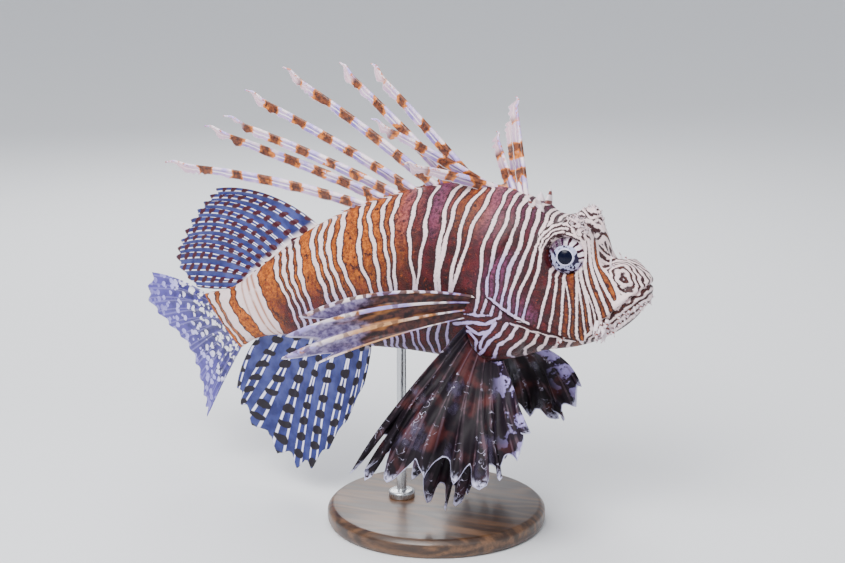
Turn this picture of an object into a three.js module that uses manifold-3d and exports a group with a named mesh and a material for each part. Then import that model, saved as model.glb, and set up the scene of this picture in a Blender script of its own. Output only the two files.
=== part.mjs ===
// Red lionfish, life size, hovering on a museum display stand. Millimetres, +Z up, +X towards the snout.
// The origin is the centre of the stand's underside. The fish is modelled about its own mid-body point and
// lifted onto the rod by one group.
import * as THREE from "three";
import { mergeVertices } from "three/addons/utils/BufferGeometryUtils.js";
import Module from "manifold-3d";

const wasm = await Module();
wasm.setup();

// Driving dimensions
const GAP = 0.3;
const FISH_LIFT = 130;
const FISH_BACK = -8;
const BASE_RADIUS = 58;
const BASE_HEIGHT = 10;
const BASE_EDGE = 2.5;
const ROD_RADIUS = 2.5;
const ROD_X = -12;
const ROD_TOP_Z = -28;
const COLLAR_RADIUS = 7;
const COLLAR_HEIGHT = 4;
const EYE = { x: 83.1, y: 12.2, z: 24.4, radius: 9.3 };
const LID_TUBE = 1.4;
const PUPIL_LOOK = [0.1, 1, 0.08];
const MEMBRANE = 0.7;
const RAY_ROOT = 2.0;
const RAY_TIP = 0.9;
const SPINE_RADIUS = 1.35;
const SPINE_WEB = 3.8;
const PECTORAL_PAD = { x: 47, y: 15, z: -16, rx: 16, ry: 9, rz: 19 };

// Where the sagittal surface bends: the tail swings to the fish's left and the head slightly to its right.
const TAIL_BEND = { from: -40, radius: 376 };
const HEAD_BEND = { from: 60, radius: 620 };

// Cross-sections from snout to tail base: centre x and z, lean in degrees, half height, half width, and the
// roundness of the upper and lower half (below 1 is boxy, above 1 is ridged).
const SECTIONS = [
  [122.8, 10.6, -8, 0, 0, 1, 1],
  [121.8, 10.0, -9, 5.0, 4.2, 0.8, 0.9],
  [118.4, 8.8, -10, 9.9, 8.4, 0.8, 0.9],
  [110.3, 6.6, -9, 16.7, 12.6, 0.8, 0.9],
  [99.7, 6.1, -3, 24.7, 16.2, 0.75, 0.9],
  [86.9, 6.4, 1, 31.4, 19.0, 0.7, 0.9],
  [70.1, 6.8, 2.4, 35.9, 21.5, 0.8, 0.9],
  [53.5, 7.9, 2.8, 43.0, 23.8, 1, 0.9],
  [34.0, 7.5, 4.5, 46.6, 24.0, 1.15, 0.95],
  [13.9, 8.0, 5.0, 46.0, 22.3, 1.2, 1],
  [-7.0, 6.0, 3.8, 43.2, 20.0, 1.2, 1],
  [-27.8, 1.8, 1.6, 39.4, 17.5, 1.15, 1.05],
  [-46.5, -2.7, -0.3, 35.2, 15.0, 1.1, 1.1],
  [-63.6, -7.4, -2, 29.6, 12.5, 1.05, 1.05],
  [-79.1, -13.7, -6.5, 23.4, 10.3, 1, 1],
  [-94.0, -21.5, -15.5, 18.0, 8.4, 1, 1],
  [-107.5, -28.9, -28, 15.5, 6.8, 1, 1],
  [-122.5, -35.6, -42, 18.2, 4.6, 1, 1],
];

// Swellings of the head on the fish's left side (y > 0), mirrored to the right: centre, radii and push.
const SWELLINGS = [
  { at: [87.5, 12, 34], r: [8.5, 6.5, 9], push: [1, 2, 10.5] },
  { at: [103, 7, 27], r: [5.5, 9, 8], push: [-1, 0, -6] },
  { at: [83, 17, 24], r: [9, 9, 9], push: [0, 2.2, 0] },
  { at: [97, 0, 33], r: [7, 8, 9], push: [0, 0, -3] },
  { at: [112, 7.5, 16], r: [6, 5, 7], push: [0, 1.6, 2] },
  { at: [110, 12, 2], r: [10, 5, 5], push: [0, 1.6, 0] },
  { at: [104, 14.5, -8], r: [6, 5, 5], push: [0, 1.4, -0.6] },
  { at: [121, 3, 3.5], r: [4, 6, 4], push: [0.8, 0, 0] },
  { at: [121.5, 3, 14], r: [4, 6, 4], push: [0.9, 0, 0.4] },
  { at: [76, 20, 2], r: [16, 8, 5], push: [0, 1.5, 0] },
  { at: [52, 23, 6], r: [12, 8, 22], push: [0, 1.3, 0] },
];

// Side views of the cuts, x and z: the gill cover's edge and the mouth line.
const HEAD_OUTLINE = [
  [150, 80],
  [59, 80],
  [58.5, 46],
  [45, 12],
  [59, -10],
  [84, -26],
  [88, -50],
  [150, -50],
];
const JAW_OUTLINE = [
  [135, 19],
  [121.5, 9.3],
  [103.2, -7.2],
  [94, -15.5],
  [89.5, -30],
  [91, -50],
  [150, -50],
  [150, 19],
];
const TAIL_CUT_X = -84;

// Fins: key rays from first to last, each with its root x, y, z, the tilt in the side view and the splay to
// the left at root and tip in degrees, and the length along the ray.
const ray = (...values) => values;
const SOFT_DORSAL = {
  rays: 12,
  keys: [
    ray(-58, 0.4, 24, 146, 193, 9, 14, 75),
    ray(-76.6, 1.8, 11, 145, 193, 13, 19, 72),
    ray(-88.7, 3.2, 1.5, 149, 203, 16, 20, 73),
    ray(-98, 4.5, -6, 166, 199, 18, 23, 69),
    ray(-109, 6.2, -14.5, 198, 184, 19, 23, 38),
  ],
  cut: 0.05,
};
const ANAL = {
  rays: 9,
  keys: [
    ray(-29, 0, -34, -95, -105, 0, 0, 26),
    ray(-37, 0, -34.5, -102, -106, 3, 3, 61),
    ray(-50, 0.1, -34.5, -110, -99, 6, 5, 85),
    ray(-61, 0.6, -33.5, -113, -106, 7, 8, 84),
    ray(-74.5, 1.6, -33, -119, -128, 10, 11, 71),
    ray(-93, 3.8, -35.5, -139, -104, 12, 13, 49),
  ],
  cut: 0.08,
};
const CAUDAL = {
  rays: 12,
  keys: [
    ray(-132.5, 11.4, -23.5, 168, 184, 36, 20, 58),
    ray(-130.5, 11, -28, 180, 196, 34, 20, 66),
    ray(-127, 10, -33.5, 191, 203, 36, 20, 56),
    ray(-122, 9, -38.5, 204, 212, 38, 22, 50),
    ray(-117, 7.9, -43, 213, 226, 36, 18, 51),
    ray(-112.5, 7, -46, 222, 240, 30, 12, 58),
    ray(-110, 6.6, -48, 234, 240, 24, 9, 63),
  ],
  cut: 0.06,
};
const PELVIC = {
  rays: 6,
  keys: [
    ray(31.4, 9, -34, -52, -118, 36, -4, 77),
    ray(26.2, 9, -34, -81, -108, 32, -5, 84),
    ray(22.1, 9, -34, -94, -136, 27, -2, 64),
  ],
  cut: 0.1,
};
// Pectoral rays leave the rim of the fleshy pad at an angle round it, in degrees.
const pectoral = (round, tilt0, tilt1, splay0, splay1, length) => {
  const a = THREE.MathUtils.degToRad(round);
  const pad = PECTORAL_PAD;
  return ray(pad.x + 15 * Math.cos(a), 20, pad.z + 17 * Math.sin(a), tilt0, tilt1, splay0, splay1, length);
};
const PECTORAL_UPPER = {
  rays: 4,
  keys: [
    pectoral(112, 158, 211, 44, 2, 99),
    pectoral(128, 170, 209, 46, 2, 103),
    pectoral(146, 182, 209, 44, 0, 104),
    pectoral(162, 189, 208, 48, -2, 84),
  ],
  cut: 0.2,
};
const PECTORAL_LOWER = {
  rays: 9,
  keys: [
    pectoral(176, 233, 240, 44, 8, 98),
    pectoral(196, 246, 243, 50, 12, 90),
    pectoral(222, 258, 266, 56, 14, 72),
    pectoral(248, 284, 277, 54, 12, 70),
    pectoral(270, 300, 284, 54, 10, 62),
    pectoral(290, 325, 294, 54, 6, 44),
  ],
  cut: 0.13,
};

// Dorsal spines from the nape back: root x, tip x, y and z, and how far the middle bows upwards.
const NAPE_SPINES = [
  [54.7, 43.2, 14, 97, 1],
  [51.5, 38.3, 22, 87.4, 1],
  [48.5, 31.7, 18, 76.8, 1],
];
const MID_SPINES = [
  [40.5, 2.2, -30, 65.3, 3],
  [36.7, -19.2, -24, 85.7, 3],
  [30, -29.2, -2, 111.1, 2],
  [18, -51.2, 8.2, 108.8, 3],
  [8, -78.1, -3.1, 106.2, 4],
];
const REAR_SPINES = [
  [-4, -107.8, 12.1, 90.4, 4],
  [-13, -115.8, 2.6, 77.3, 4],
  [-21, -133, 13, 69.2, 4],
  [-31, -148.5, -3, 50.9, 7],
];

const deg = THREE.MathUtils.degToRad;
const lerp = (a, b, t) => a + (b - a) * t;

// A smooth row of numbers at place s along a table of rows.
function spline(table, s) {
  const last = table.length - 1;
  const i = Math.min(Math.floor(Math.max(s, 0)), last - 1);
  const t = Math.min(Math.max(s, 0), last) - i;
  const p1 = table[i];
  const p2 = table[i + 1];
  return p1.map((b, k) => {
    const c = p2[k];
    const a = i > 0 ? table[i - 1][k] : 2 * b - c;
    const d = i + 2 <= last ? table[i + 2][k] : 2 * c - b;
    const curve = (2 * a - 5 * b + 4 * c - d) * t ** 2 + (3 * b - a - 3 * c + d) * t ** 3;
    return 0.5 * (2 * b + (c - a) * t + curve);
  });
}

// Sideways offset and slope of the sagittal surface at x.
function bendAt(x) {
  const tail = Math.min(x - TAIL_BEND.from, 0);
  const head = Math.max(x - HEAD_BEND.from, 0);
  const y = tail ** 2 / (2 * TAIL_BEND.radius) - head ** 2 / (2 * HEAD_BEND.radius);
  return [y, tail / TAIL_BEND.radius - head / HEAD_BEND.radius];
}

// The skin's point at section s and angle phi from the back, grown outwards by grow.
function skinPoint(s, phi, grow) {
  const [x, z, lean, h, w, top, bottom] = spline(SECTIONS, s);
  const high = (Math.max(h, 0) + grow) * Math.cos(phi);
  const sine = Math.abs(Math.sin(phi));
  const power = Math.cos(phi) > 0 ? top : bottom;
  let wide = sine < 1e-9 ? 0 : (Math.max(w, 0) + grow) * sine ** power * Math.sign(Math.sin(phi));
  let px = x + high * Math.sin(deg(lean));
  let pz = z + high * Math.cos(deg(lean));
  const side = wide < 0 ? -1 : 1;
  let dx = 0;
  let dy = 0;
  let dz = 0;
  for (const { at, r, push } of SWELLINGS) {
    const [u, v, across] = [px - at[0], Math.abs(wide) - at[1], pz - at[2]];
    const amount = Math.exp(-((u / r[0]) ** 2) - (v / r[1]) ** 2 - (across / r[2]) ** 2);
    dx += push[0] * amount;
    dy += push[1] * amount;
    dz += push[2] * amount;
  }
  px += dx;
  pz += dz;
  wide += side * dy * Math.min(1, Math.abs(wide) / 4);
  const [y, slope] = bendAt(px);
  const n = Math.hypot(1, slope);
  return new THREE.Vector3(px - (wide * slope) / n, y + wide / n, pz);
}

// A closed manifold from points and triangles.
function solid(points, faces) {
  const g = new THREE.BufferGeometry();
  g.setAttribute("position", new THREE.Float32BufferAttribute(points.flatMap((p) => [p.x, p.y, p.z]), 3));
  g.setIndex(faces.flat());
  return fromGeometry(g);
}

function fromGeometry(source) {
  const g = source.clone();
  g.deleteAttribute("normal");
  g.deleteAttribute("uv");
  const merged = mergeVertices(g, 1e-4);
  const triVerts = new Uint32Array(merged.index.array);
  const vertProperties = new Float32Array(merged.attributes.position.array);
  const made = new wasm.Manifold(new wasm.Mesh({ numProp: 3, vertProperties, triVerts }));
  if (made.volume() > 0) return made;
  for (let i = 0; i < triVerts.length; i += 3) triVerts.subarray(i, i + 3).reverse();
  return new wasm.Manifold(new wasm.Mesh({ numProp: 3, vertProperties, triVerts }));
}

// A tube of rings, each with the same count of points, closed by a fan at each end.
function closeRings(rings) {
  const n = rings[0].length;
  const points = rings.flat();
  const faces = [];
  for (let i = 0; i + 1 < rings.length; i++)
    for (let k = 0; k < n; k++) {
      const a = i * n + k;
      const b = i * n + ((k + 1) % n);
      faces.push([a, b, b + n], [a, b + n, a + n]);
    }
  const last = (rings.length - 1) * n;
  for (let k = 1; k + 1 < n; k++) {
    faces.push([0, k + 1, k]);
    faces.push([last, last + k, last + k + 1]);
  }
  return solid(points, faces);
}

function bodySolid(grow) {
  const places = [0.06];
  for (let s = 0.5; s < 7; s += 0.4) places.push(s);
  for (let s = 7; s <= 17; s += 0.8) places.push(s);
  if (places[places.length - 1] < 17) places.push(17);
  const around = 30;
  const angle = (k) => (2 * Math.PI * (k + 0.5)) / around - Math.PI;
  const rings = places.map((s) =>
    Array.from({ length: around }, (_, k) => skinPoint(s, angle(k), grow)),
  );
  const end = rings[rings.length - 1];
  const away = end[0].clone().sub(rings[rings.length - 2][0]).normalize();
  end.forEach((p) => p.addScaledVector(away, grow));
  return closeRings(rings);
}

// Only the largest closed surface of a solid.
function largest(made) {
  const parts = made.decompose();
  return parts.reduce((best, p) => (Math.abs(p.volume()) > Math.abs(best.volume()) ? p : best), parts[0]);
}

// A prism over a side-view outline, wide enough to cut the whole fish.
function sideCutter(outline) {
  const shape = new THREE.Shape(outline.map(([x, z]) => new THREE.Vector2(x, z)));
  const g = new THREE.ExtrudeGeometry(shape, { depth: 240, bevelEnabled: false });
  g.rotateX(Math.PI / 2);
  g.translate(0, 120, 0);
  return fromGeometry(g);
}

function ball(x, y, z, rx, ry, rz, across, down) {
  const g = new THREE.SphereGeometry(1, across, down);
  g.scale(rx, ry, rz);
  g.translate(x, y, z);
  return fromGeometry(g);
}

// The points of one ray traced from its root.
function trace([x, y, z, tilt0, tilt1, splay0, splay1, length], steps) {
  const points = [new THREE.Vector3(x, y, z)];
  const step = length / steps;
  for (let i = 0; i < steps; i++) {
    const u = (i + 0.5) / steps;
    const tilt = deg(lerp(tilt0, tilt1, u));
    const splay = deg(lerp(splay0, splay1, u));
    const flat = Math.cos(splay);
    const move = new THREE.Vector3(flat * Math.cos(tilt), Math.sin(splay), flat * Math.sin(tilt));
    points.push(points[i].clone().addScaledVector(move, step));
  }
  return points;
}

// A rayed fin: a membrane whose rays are ridges raised in its own surface, cut back between the ray tips.
function finSolid({ rays, keys, cut }, side, pleat, rows) {
  const columns = 2 * rays - 1;
  const grid = [];
  for (let c = 0; c < columns; c++) {
    const values = spline(keys, (c / (columns - 1)) * (keys.length - 1));
    const onRay = c % 2 === 0;
    if (!onRay) values[7] *= 1 - cut;
    const line = trace(values, rows);
    grid.push({ line, onRay });
  }
  const normalAt = (c, j) => {
    const before = grid[Math.max(c - 1, 0)].line;
    const after = grid[Math.min(c + 1, columns - 1)].line;
    const across = after[j].clone().sub(before[j]);
    const line = grid[c].line;
    const along = line[Math.min(j + 1, rows)].clone().sub(line[Math.max(j - 1, 0)]);
    return across.cross(along).normalize();
  };
  const upper = [];
  const lower = [];
  for (let c = 0; c < columns; c++)
    for (let j = 0; j <= rows; j++) {
      const t = j / rows;
      const { line, onRay } = grid[c];
      const n = normalAt(c, j);
      const thick = onRay ? lerp(RAY_ROOT, RAY_TIP, t) : MEMBRANE;
      const uneven = (c >> 1) % 2 ? 1 : 0.6;
      const fold = pleat * uneven * (onRay ? -1 : 1) * Math.sin(Math.PI * Math.min(1, t * 1.1));
      const mid = line[j].clone().addScaledVector(n, fold);
      upper.push(mid.clone().addScaledVector(n, thick / 2));
      lower.push(mid.clone().addScaledVector(n, -thick / 2));
    }
  const points = [...upper, ...lower];
  if (side < 0) points.forEach((p) => (p.y = -p.y));
  const size = upper.length;
  const at = (c, j) => c * (rows + 1) + j;
  const faces = [];
  for (let c = 0; c + 1 < columns; c++)
    for (let j = 0; j < rows; j++) {
      const [a, b, d, e] = [at(c, j), at(c + 1, j), at(c + 1, j + 1), at(c, j + 1)];
      faces.push([a, b, d], [a, d, e], [size + a, size + d, size + b], [size + a, size + e, size + d]);
    }
  const rim = [];
  for (let c = 0; c < columns; c++) rim.push(at(c, 0));
  for (let j = 1; j <= rows; j++) rim.push(at(columns - 1, j));
  for (let c = columns - 2; c >= 0; c--) rim.push(at(c, rows));
  for (let j = rows - 1; j > 0; j--) rim.push(at(0, j));
  rim.forEach((a, i) => {
    const b = rim[(i + 1) % rim.length];
    faces.push([b, a, size + a], [b, size + a, size + b]);
  });
  return solid(points, faces);
}

// One dorsal spine: a round tapering rod with its own narrow membrane behind it.
function spineSolid(root, tip, bow, steps) {
  const control = root.clone().lerp(tip, 0.5);
  control.z += bow;
  const curve = new THREE.QuadraticBezierCurve3(root, control, tip);
  const rings = curve.getPoints(steps).map((p, i) => {
    const t = i / steps;
    const along = curve.getTangent(t);
    const sideways = new THREE.Vector3(0, 1, 0).addScaledVector(along, -along.y).normalize();
    const behind = new THREE.Vector3().crossVectors(along, sideways).normalize();
    const r = SPINE_RADIUS * lerp(1, 0.4, t ** 1.4);
    const web = r + SPINE_WEB * Math.sin(Math.PI * Math.min(0.96, 0.4 + t * 0.58)) ** 0.5;
    const half = MEMBRANE / 2;
    const outline = [
      [-r, 0],
      [-0.2 * r, r],
      [r, half],
      [web, half * 0.8],
      [web, -half * 0.8],
      [r, -half],
      [-0.2 * r, -r],
    ];
    const shift = SPINE_WEB / 2;
    const at = ([b, s]) => p.clone().addScaledVector(behind, b - shift).addScaledVector(sideways, s);
    return outline.map(at);
  });
  return closeRings(rings);
}

// A point on the mid line of the back or belly at a given x, sunk by some depth.
function midPoint(x, phi, sunk) {
  let low = 1;
  let high = 17;
  for (let i = 0; i < 40; i++) {
    const s = (low + high) / 2;
    if (skinPoint(s, phi, 0).x > x) low = s;
    else high = s;
  }
  const p = skinPoint(low, phi, 0);
  p.z -= Math.cos(phi) * sunk;
  return p;
}

// The low web that ties the feet of neighbouring spines along the back.
function webSolid(fromX, toX, tall, half, dips) {
  const steps = dips * 2;
  const rings = [];
  for (let i = 0; i <= steps; i++) {
    const x = lerp(fromX, toX, i / steps);
    const foot = midPoint(x, 0, 3.5);
    const height = 3.5 + tall * (i % 2 ? 0.45 : 1) * (i === 0 || i === steps ? 0.25 : 1);
    const top = foot.clone().add(new THREE.Vector3(-0.45 * height, 0, height));
    rings.push([
      foot.clone().add(new THREE.Vector3(0, -half, 0)),
      foot.clone().add(new THREE.Vector3(0, half, 0)),
      top.clone().add(new THREE.Vector3(0, half * 0.5, 0)),
      top.clone().add(new THREE.Vector3(0, -half * 0.5, 0)),
    ]);
  }
  return closeRings(rings);
}

// A small tapered flap or horn from a root along a direction.
function flapSolid(root, direction, wide, thick) {
  const to = root.clone().add(direction);
  const along = direction.clone().normalize();
  const sideways = new THREE.Vector3(0, 1, 0).cross(along).normalize();
  const other = along.clone().cross(sideways);
  const ring = (p, k) =>
    [0, 1, 2, 3].map((i) =>
      p
        .clone()
        .addScaledVector(sideways, k * wide * Math.cos((i * Math.PI) / 2))
        .addScaledVector(other, k * thick * Math.sin((i * Math.PI) / 2)),
    );
  return closeRings([ring(root, 1), ring(root.clone().lerp(to, 0.55), 0.75), ring(to, 0.2)]);
}

function joined(pieces) {
  return pieces.reduce((sum, p) => sum.add(p));
}

const point = (x, y, z) => new THREE.Vector3(x, y, z);

// Flaps and horns of the head's right and left side: root, direction, width and thickness.
const HEAD_FLAPS = [
  [[67, 6.5, 43], [-4.5, 1, 8.5], 2.2, 1.2],
  [[106.5, 5.5, 20.5], [0, 0.8, 7.5], 0.7, 0.55],
  [[86, 12, 39], [-1, 2, 5.5], 1.2, 0.7],
  [[91, 11, 37.5], [1.5, 2, 4.5], 1.1, 0.7],
  [[80, 12.5, 38.5], [-2.5, 1.5, 4.5], 1.1, 0.7],
  [[100, 14, -9], [-2, 4, -5.5], 1.2, 0.7],
  [[70, 21.5, -8], [-6, 4.5, -1.5], 1.4, 0.8],
  [[66, 21.5, 0], [-6, 4.5, 0.5], 1.4, 0.8],
  [[79, 17, -19], [-6.5, 3, -6], 1.5, 0.8],
];
const JAW_FLAPS = 5;

function headFlaps(side) {
  return HEAD_FLAPS.map(([root, direction, wide, thick]) =>
    flapSolid(
      point(root[0], side * root[1] + bendAt(root[0])[0], root[2]),
      point(direction[0], side * direction[1], direction[2]),
      wide,
      thick,
    ),
  );
}

function jawFlaps(side) {
  return Array.from({ length: JAW_FLAPS }, (_, i) => {
    const t = i / (JAW_FLAPS - 1);
    const x = lerp(97, 119, t);
    const z = lerp(-14, -1, t ** 1.2);
    const y = side * lerp(10, 3.5, t) + bendAt(x)[0];
    return flapSolid(point(x, y, z), point(-1, side * 1.5, -5.5 + 1.5 * (i % 2)), 0.8, 0.6);
  });
}

// A lid: the fleshy rim round an eyeball.
function lidSolid(side) {
  const g = new THREE.TorusGeometry(EYE.radius - 0.2, LID_TUBE, 6, 20);
  const look = point(PUPIL_LOOK[0], side * PUPIL_LOOK[1], PUPIL_LOOK[2]).normalize();
  g.applyQuaternion(new THREE.Quaternion().setFromUnitVectors(point(0, 0, 1), look));
  const c = eyeCentre(side).addScaledVector(look, 1.2);
  g.translate(c.x, c.y, c.z);
  return fromGeometry(g);
}

function eyeCentre(side) {
  return point(EYE.x, side * EYE.y + bendAt(EYE.x)[0], EYE.z);
}

function material(color, roughness, metalness = 0) {
  return new THREE.MeshStandardMaterial({ color, roughness, metalness });
}
const skin = material(0x8a3a24, 0.55);
const finSkin = material(0x6d5a78, 0.5);
const spineSkin = material(0xd8b8b0, 0.5);
const eyeGloss = material(0x9fb0d8, 0.12);
const steel = material(0xb8bcc2, 0.28, 1);
const walnut = material(0x4a2e1c, 0.5);

const fish = new THREE.Group();
fish.position.set(FISH_BACK, 0, FISH_LIFT);

function place(name, made, look) {
  const source = made.getMesh();
  const n = source.numProp;
  const positions = new Float32Array(source.numVert * 3);
  for (let i = 0; i < source.numVert; i++) {
    positions.set(source.vertProperties.subarray(i * n, i * n + 3), i * 3);
  }
  const g = new THREE.BufferGeometry();
  g.setAttribute("position", new THREE.BufferAttribute(positions, 3));
  g.setIndex(new THREE.BufferAttribute(new Uint32Array(source.triVerts), 1));
  const mesh = new THREE.Mesh(g, look);
  mesh.name = name;
  fish.add(mesh);
}

// The whole body, then the same body grown by the gap, which trims what grows from it.
const padOf = (side, grow) => {
  const p = PECTORAL_PAD;
  return ball(p.x, side * p.y, p.z, p.rx + grow, p.ry + grow, p.rz + grow, 16, 12);
};
const body = bodySolid(0);
const grownBody = bodySolid(GAP * 1.15);
const grownPads = padOf(1, GAP).add(padOf(-1, GAP));
const trimmer = grownBody.add(grownPads);

function eyes() {
  for (const [side, name] of [[-1, "eye_right"], [1, "eye_left"]]) {
    const c = eyeCentre(side);
    place(name, ball(c.x, c.y, c.z, EYE.radius, EYE.radius, EYE.radius, 18, 12), eyeGloss);
  }
}

const headCut = sideCutter(HEAD_OUTLINE);
const headCutWide = sideCutter(HEAD_OUTLINE.map(([x, z]) => [x - 0.34, z]));
const jawCut = sideCutter(JAW_OUTLINE);
const jawCutWide = sideCutter(JAW_OUTLINE.map(([x, z]) => [x - 0.3, z + 0.2]));

const NOSTRIL = { x: 110.5, y: 9.8, z: 18.4 };

function nostrilSolid(side) {
  return ball(NOSTRIL.x, side * NOSTRIL.y + bendAt(NOSTRIL.x)[0], NOSTRIL.z, 1.5, 2.4, 1.1, 8, 6);
}

function headAndJaw() {
  const sockets = [-1, 1].map((side) => {
    const c = eyeCentre(side);
    const r = EYE.radius + GAP;
    return ball(c.x, c.y, c.z, r, r, r, 18, 12);
  });
  const nostrils = [-1, 1].map(nostrilSolid);
  const faceWithJaw = body.intersect(headCut);
  const fringe = joined([...headFlaps(-1), ...headFlaps(1)]);
  const nearTrunk = trimmer.subtract(headCut);
  const nearJaw = grownBody.intersect(jawCutWide);
  const face = faceWithJaw.subtract(jawCutWide).add(fringe.subtract(nearTrunk).subtract(nearJaw));
  const lidded = joined([face, lidSolid(-1), lidSolid(1)]);
  place("head", largest(lidded.subtract(joined([...sockets, ...nostrils]))), skin);
  const beard = joined([...jawFlaps(-1), ...jawFlaps(1)]).subtract(grownBody.subtract(jawCut));
  place("jaw", largest(faceWithJaw.intersect(jawCut).add(beard)), skin);
}

function trunkAndTail() {
  const behind = body.subtract(headCutWide);
  const socket = new THREE.CylinderGeometry(ROD_RADIUS + GAP, ROD_RADIUS + GAP, 40, 16);
  socket.rotateX(Math.PI / 2);
  socket.translate(ROD_X, 0, ROD_TOP_Z + GAP - 20);
  const tailSide = [
    [TAIL_CUT_X, 60],
    [TAIL_CUT_X + 8, -60],
    [-260, -60],
    [-260, 60],
  ];
  const pads = padOf(1, 0).add(padOf(-1, 0)).subtract(headCutWide);
  const trunk = behind.add(pads).subtract(sideCutter(tailSide.map(([x, z]) => [x + GAP, z])));
  place("torso", largest(trunk.subtract(fromGeometry(socket))), skin);
  place("tail_stalk", largest(behind.intersect(sideCutter(tailSide))), skin);
}

function spinyDorsal() {
  const rows = [
    ["dorsal_spines_nape", NAPE_SPINES, webSolid(57, 45.5, 5, 0.9, 3), 4],
    ["dorsal_spines_mid", MID_SPINES, webSolid(43.5, 3.6, 6, 1, 6), 6],
    ["dorsal_spines_rear", REAR_SPINES, webSolid(1.5, -50, 6, 1, 6), 6],
  ];
  for (const [name, spines, web, steps] of rows) {
    const blades = spines.map(([foot, x, y, z, bow]) =>
      spineSolid(midPoint(foot, 0, 2.5), point(x, y, z), bow, steps),
    );
    place(name, largest(joined([web, ...blades]).subtract(trimmer)), spineSkin);
  }
}

function rayedFins() {
  const trimmed = (name, fin, side, pleat, rows) =>
    place(name, largest(finSolid(fin, side, pleat, rows).subtract(trimmer)), finSkin);
  trimmed("dorsal_fin_soft", SOFT_DORSAL, 1, 0.3, 7);
  trimmed("anal_fin", ANAL, 1, 0.3, 7);
  trimmed("tail_fin", CAUDAL, 1, 0.4, 6);
  for (const [side, word] of [[-1, "right"], [1, "left"]]) {
    trimmed("pectoral_fin_upper_" + word, PECTORAL_UPPER, side, 0.5, 9);
    trimmed("pectoral_fin_lower_" + word, PECTORAL_LOWER, side, 1.1, 8);
    trimmed("pelvic_fin_" + word, PELVIC, side, 0.8, 8);
  }
}

function stand(group) {
  const profile = [
    [0, 0],
    [BASE_RADIUS - BASE_EDGE, 0],
    [BASE_RADIUS, BASE_EDGE],
    [BASE_RADIUS, BASE_HEIGHT - BASE_EDGE],
    [BASE_RADIUS - BASE_EDGE, BASE_HEIGHT],
    [0, BASE_HEIGHT],
  ];
  const turned = (points, sides) => {
    const g = new THREE.LatheGeometry(points.map(([r, z]) => new THREE.Vector2(r, z)), sides);
    g.rotateX(Math.PI / 2);
    return g;
  };
  const base = new THREE.Mesh(turned(profile, 48), walnut);
  base.name = "stand_base";
  const rodTop = FISH_LIFT + ROD_TOP_Z;
  const rodFoot = BASE_HEIGHT + GAP;
  const rodProfile = [
    [0, rodFoot],
    [COLLAR_RADIUS, rodFoot],
    [COLLAR_RADIUS, rodFoot + COLLAR_HEIGHT - 1],
    [COLLAR_RADIUS - 1, rodFoot + COLLAR_HEIGHT],
    [ROD_RADIUS, rodFoot + COLLAR_HEIGHT],
    [ROD_RADIUS, rodTop - 0.8],
    [ROD_RADIUS - 0.8, rodTop],
    [0, rodTop],
  ];
  const rod = new THREE.Mesh(turned(rodProfile, 16), steel);
  rod.name = "stand_rod";
  rod.position.x = ROD_X + FISH_BACK;
  group.add(base, rod);
}

eyes();
headAndJaw();
trunkAndTail();
spinyDorsal();
rayedFins();
const whole = new THREE.Group();
whole.add(fish);
stand(whole);

export default whole;
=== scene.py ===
import math

import bpy
import numpy as np
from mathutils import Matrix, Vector


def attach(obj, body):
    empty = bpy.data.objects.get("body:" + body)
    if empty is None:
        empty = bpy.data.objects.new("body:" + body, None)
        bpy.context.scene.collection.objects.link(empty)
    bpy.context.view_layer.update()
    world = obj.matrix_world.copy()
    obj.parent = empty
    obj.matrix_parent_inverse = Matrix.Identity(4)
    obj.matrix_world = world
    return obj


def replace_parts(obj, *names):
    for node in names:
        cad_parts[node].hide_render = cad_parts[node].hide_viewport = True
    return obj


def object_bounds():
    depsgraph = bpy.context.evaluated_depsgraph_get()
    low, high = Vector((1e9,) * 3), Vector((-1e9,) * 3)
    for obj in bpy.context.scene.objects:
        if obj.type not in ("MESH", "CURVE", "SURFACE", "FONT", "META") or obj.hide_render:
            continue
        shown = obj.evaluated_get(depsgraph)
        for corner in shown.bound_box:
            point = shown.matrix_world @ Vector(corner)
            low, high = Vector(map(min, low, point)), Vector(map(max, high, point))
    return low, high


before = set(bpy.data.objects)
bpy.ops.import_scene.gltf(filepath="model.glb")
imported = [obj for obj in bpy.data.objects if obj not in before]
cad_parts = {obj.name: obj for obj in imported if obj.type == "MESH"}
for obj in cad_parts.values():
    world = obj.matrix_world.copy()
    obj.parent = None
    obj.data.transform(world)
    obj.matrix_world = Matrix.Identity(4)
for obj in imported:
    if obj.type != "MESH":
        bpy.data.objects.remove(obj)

cad_low, cad_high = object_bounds()

# Driving dimensions, in millimetres, about the fish's own mid-body point
ORIGIN = np.array([-8.0, 0.0, 130.0])
METRE = 0.001
EYE = {"x": 83.1, "y": 11.8, "z": 24.4, "radius": 9.9}
EYE_LOOK = np.array([0.1, 1.0, 0.08])
EYE_ROWS, EYE_COLUMNS = 72, 96
PUPIL_RADIUS = 3.8
LID_RADIUS = 10.7
NOSTRIL = np.array([110.5, 9.8, 18.4])
CREST = np.array([88.0, 12.5, 41.0])
WHORL = np.array([112.5, 11.0, 15.0])
WHORL_AXIS = np.array([0.55, 0.0, -0.83])
PAD = {"x": 47.0, "y": 15.0, "z": -16.0, "rx": 16.0, "ry": 9.0, "rz": 19.0}
TAIL_BEND = {"from": -40.0, "ease": 752.0}
HEAD_BEND = {"from": 60.0, "ease": 1240.0}
SKIN_AROUND = 400
NAPE_HORN = (66.5, 7.5)
FILM = 0.2
FIN_ROWS = 56
BOX_MARGIN = 0.8
SPINE_RADIUS = 1.3
SPINE_SIDES = 14
SPINE_WEB = 4.6
ROD_RADIUS = 2.5
ROD_X = -20.0
ROD_TOP = 102.0
BASE_RADIUS = 58.0
BASE_HEIGHT = 10.0
BASE_EDGE = 2.5
COLLAR_RADIUS = 7.0
COLLAR_HEIGHT = 4.2
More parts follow.
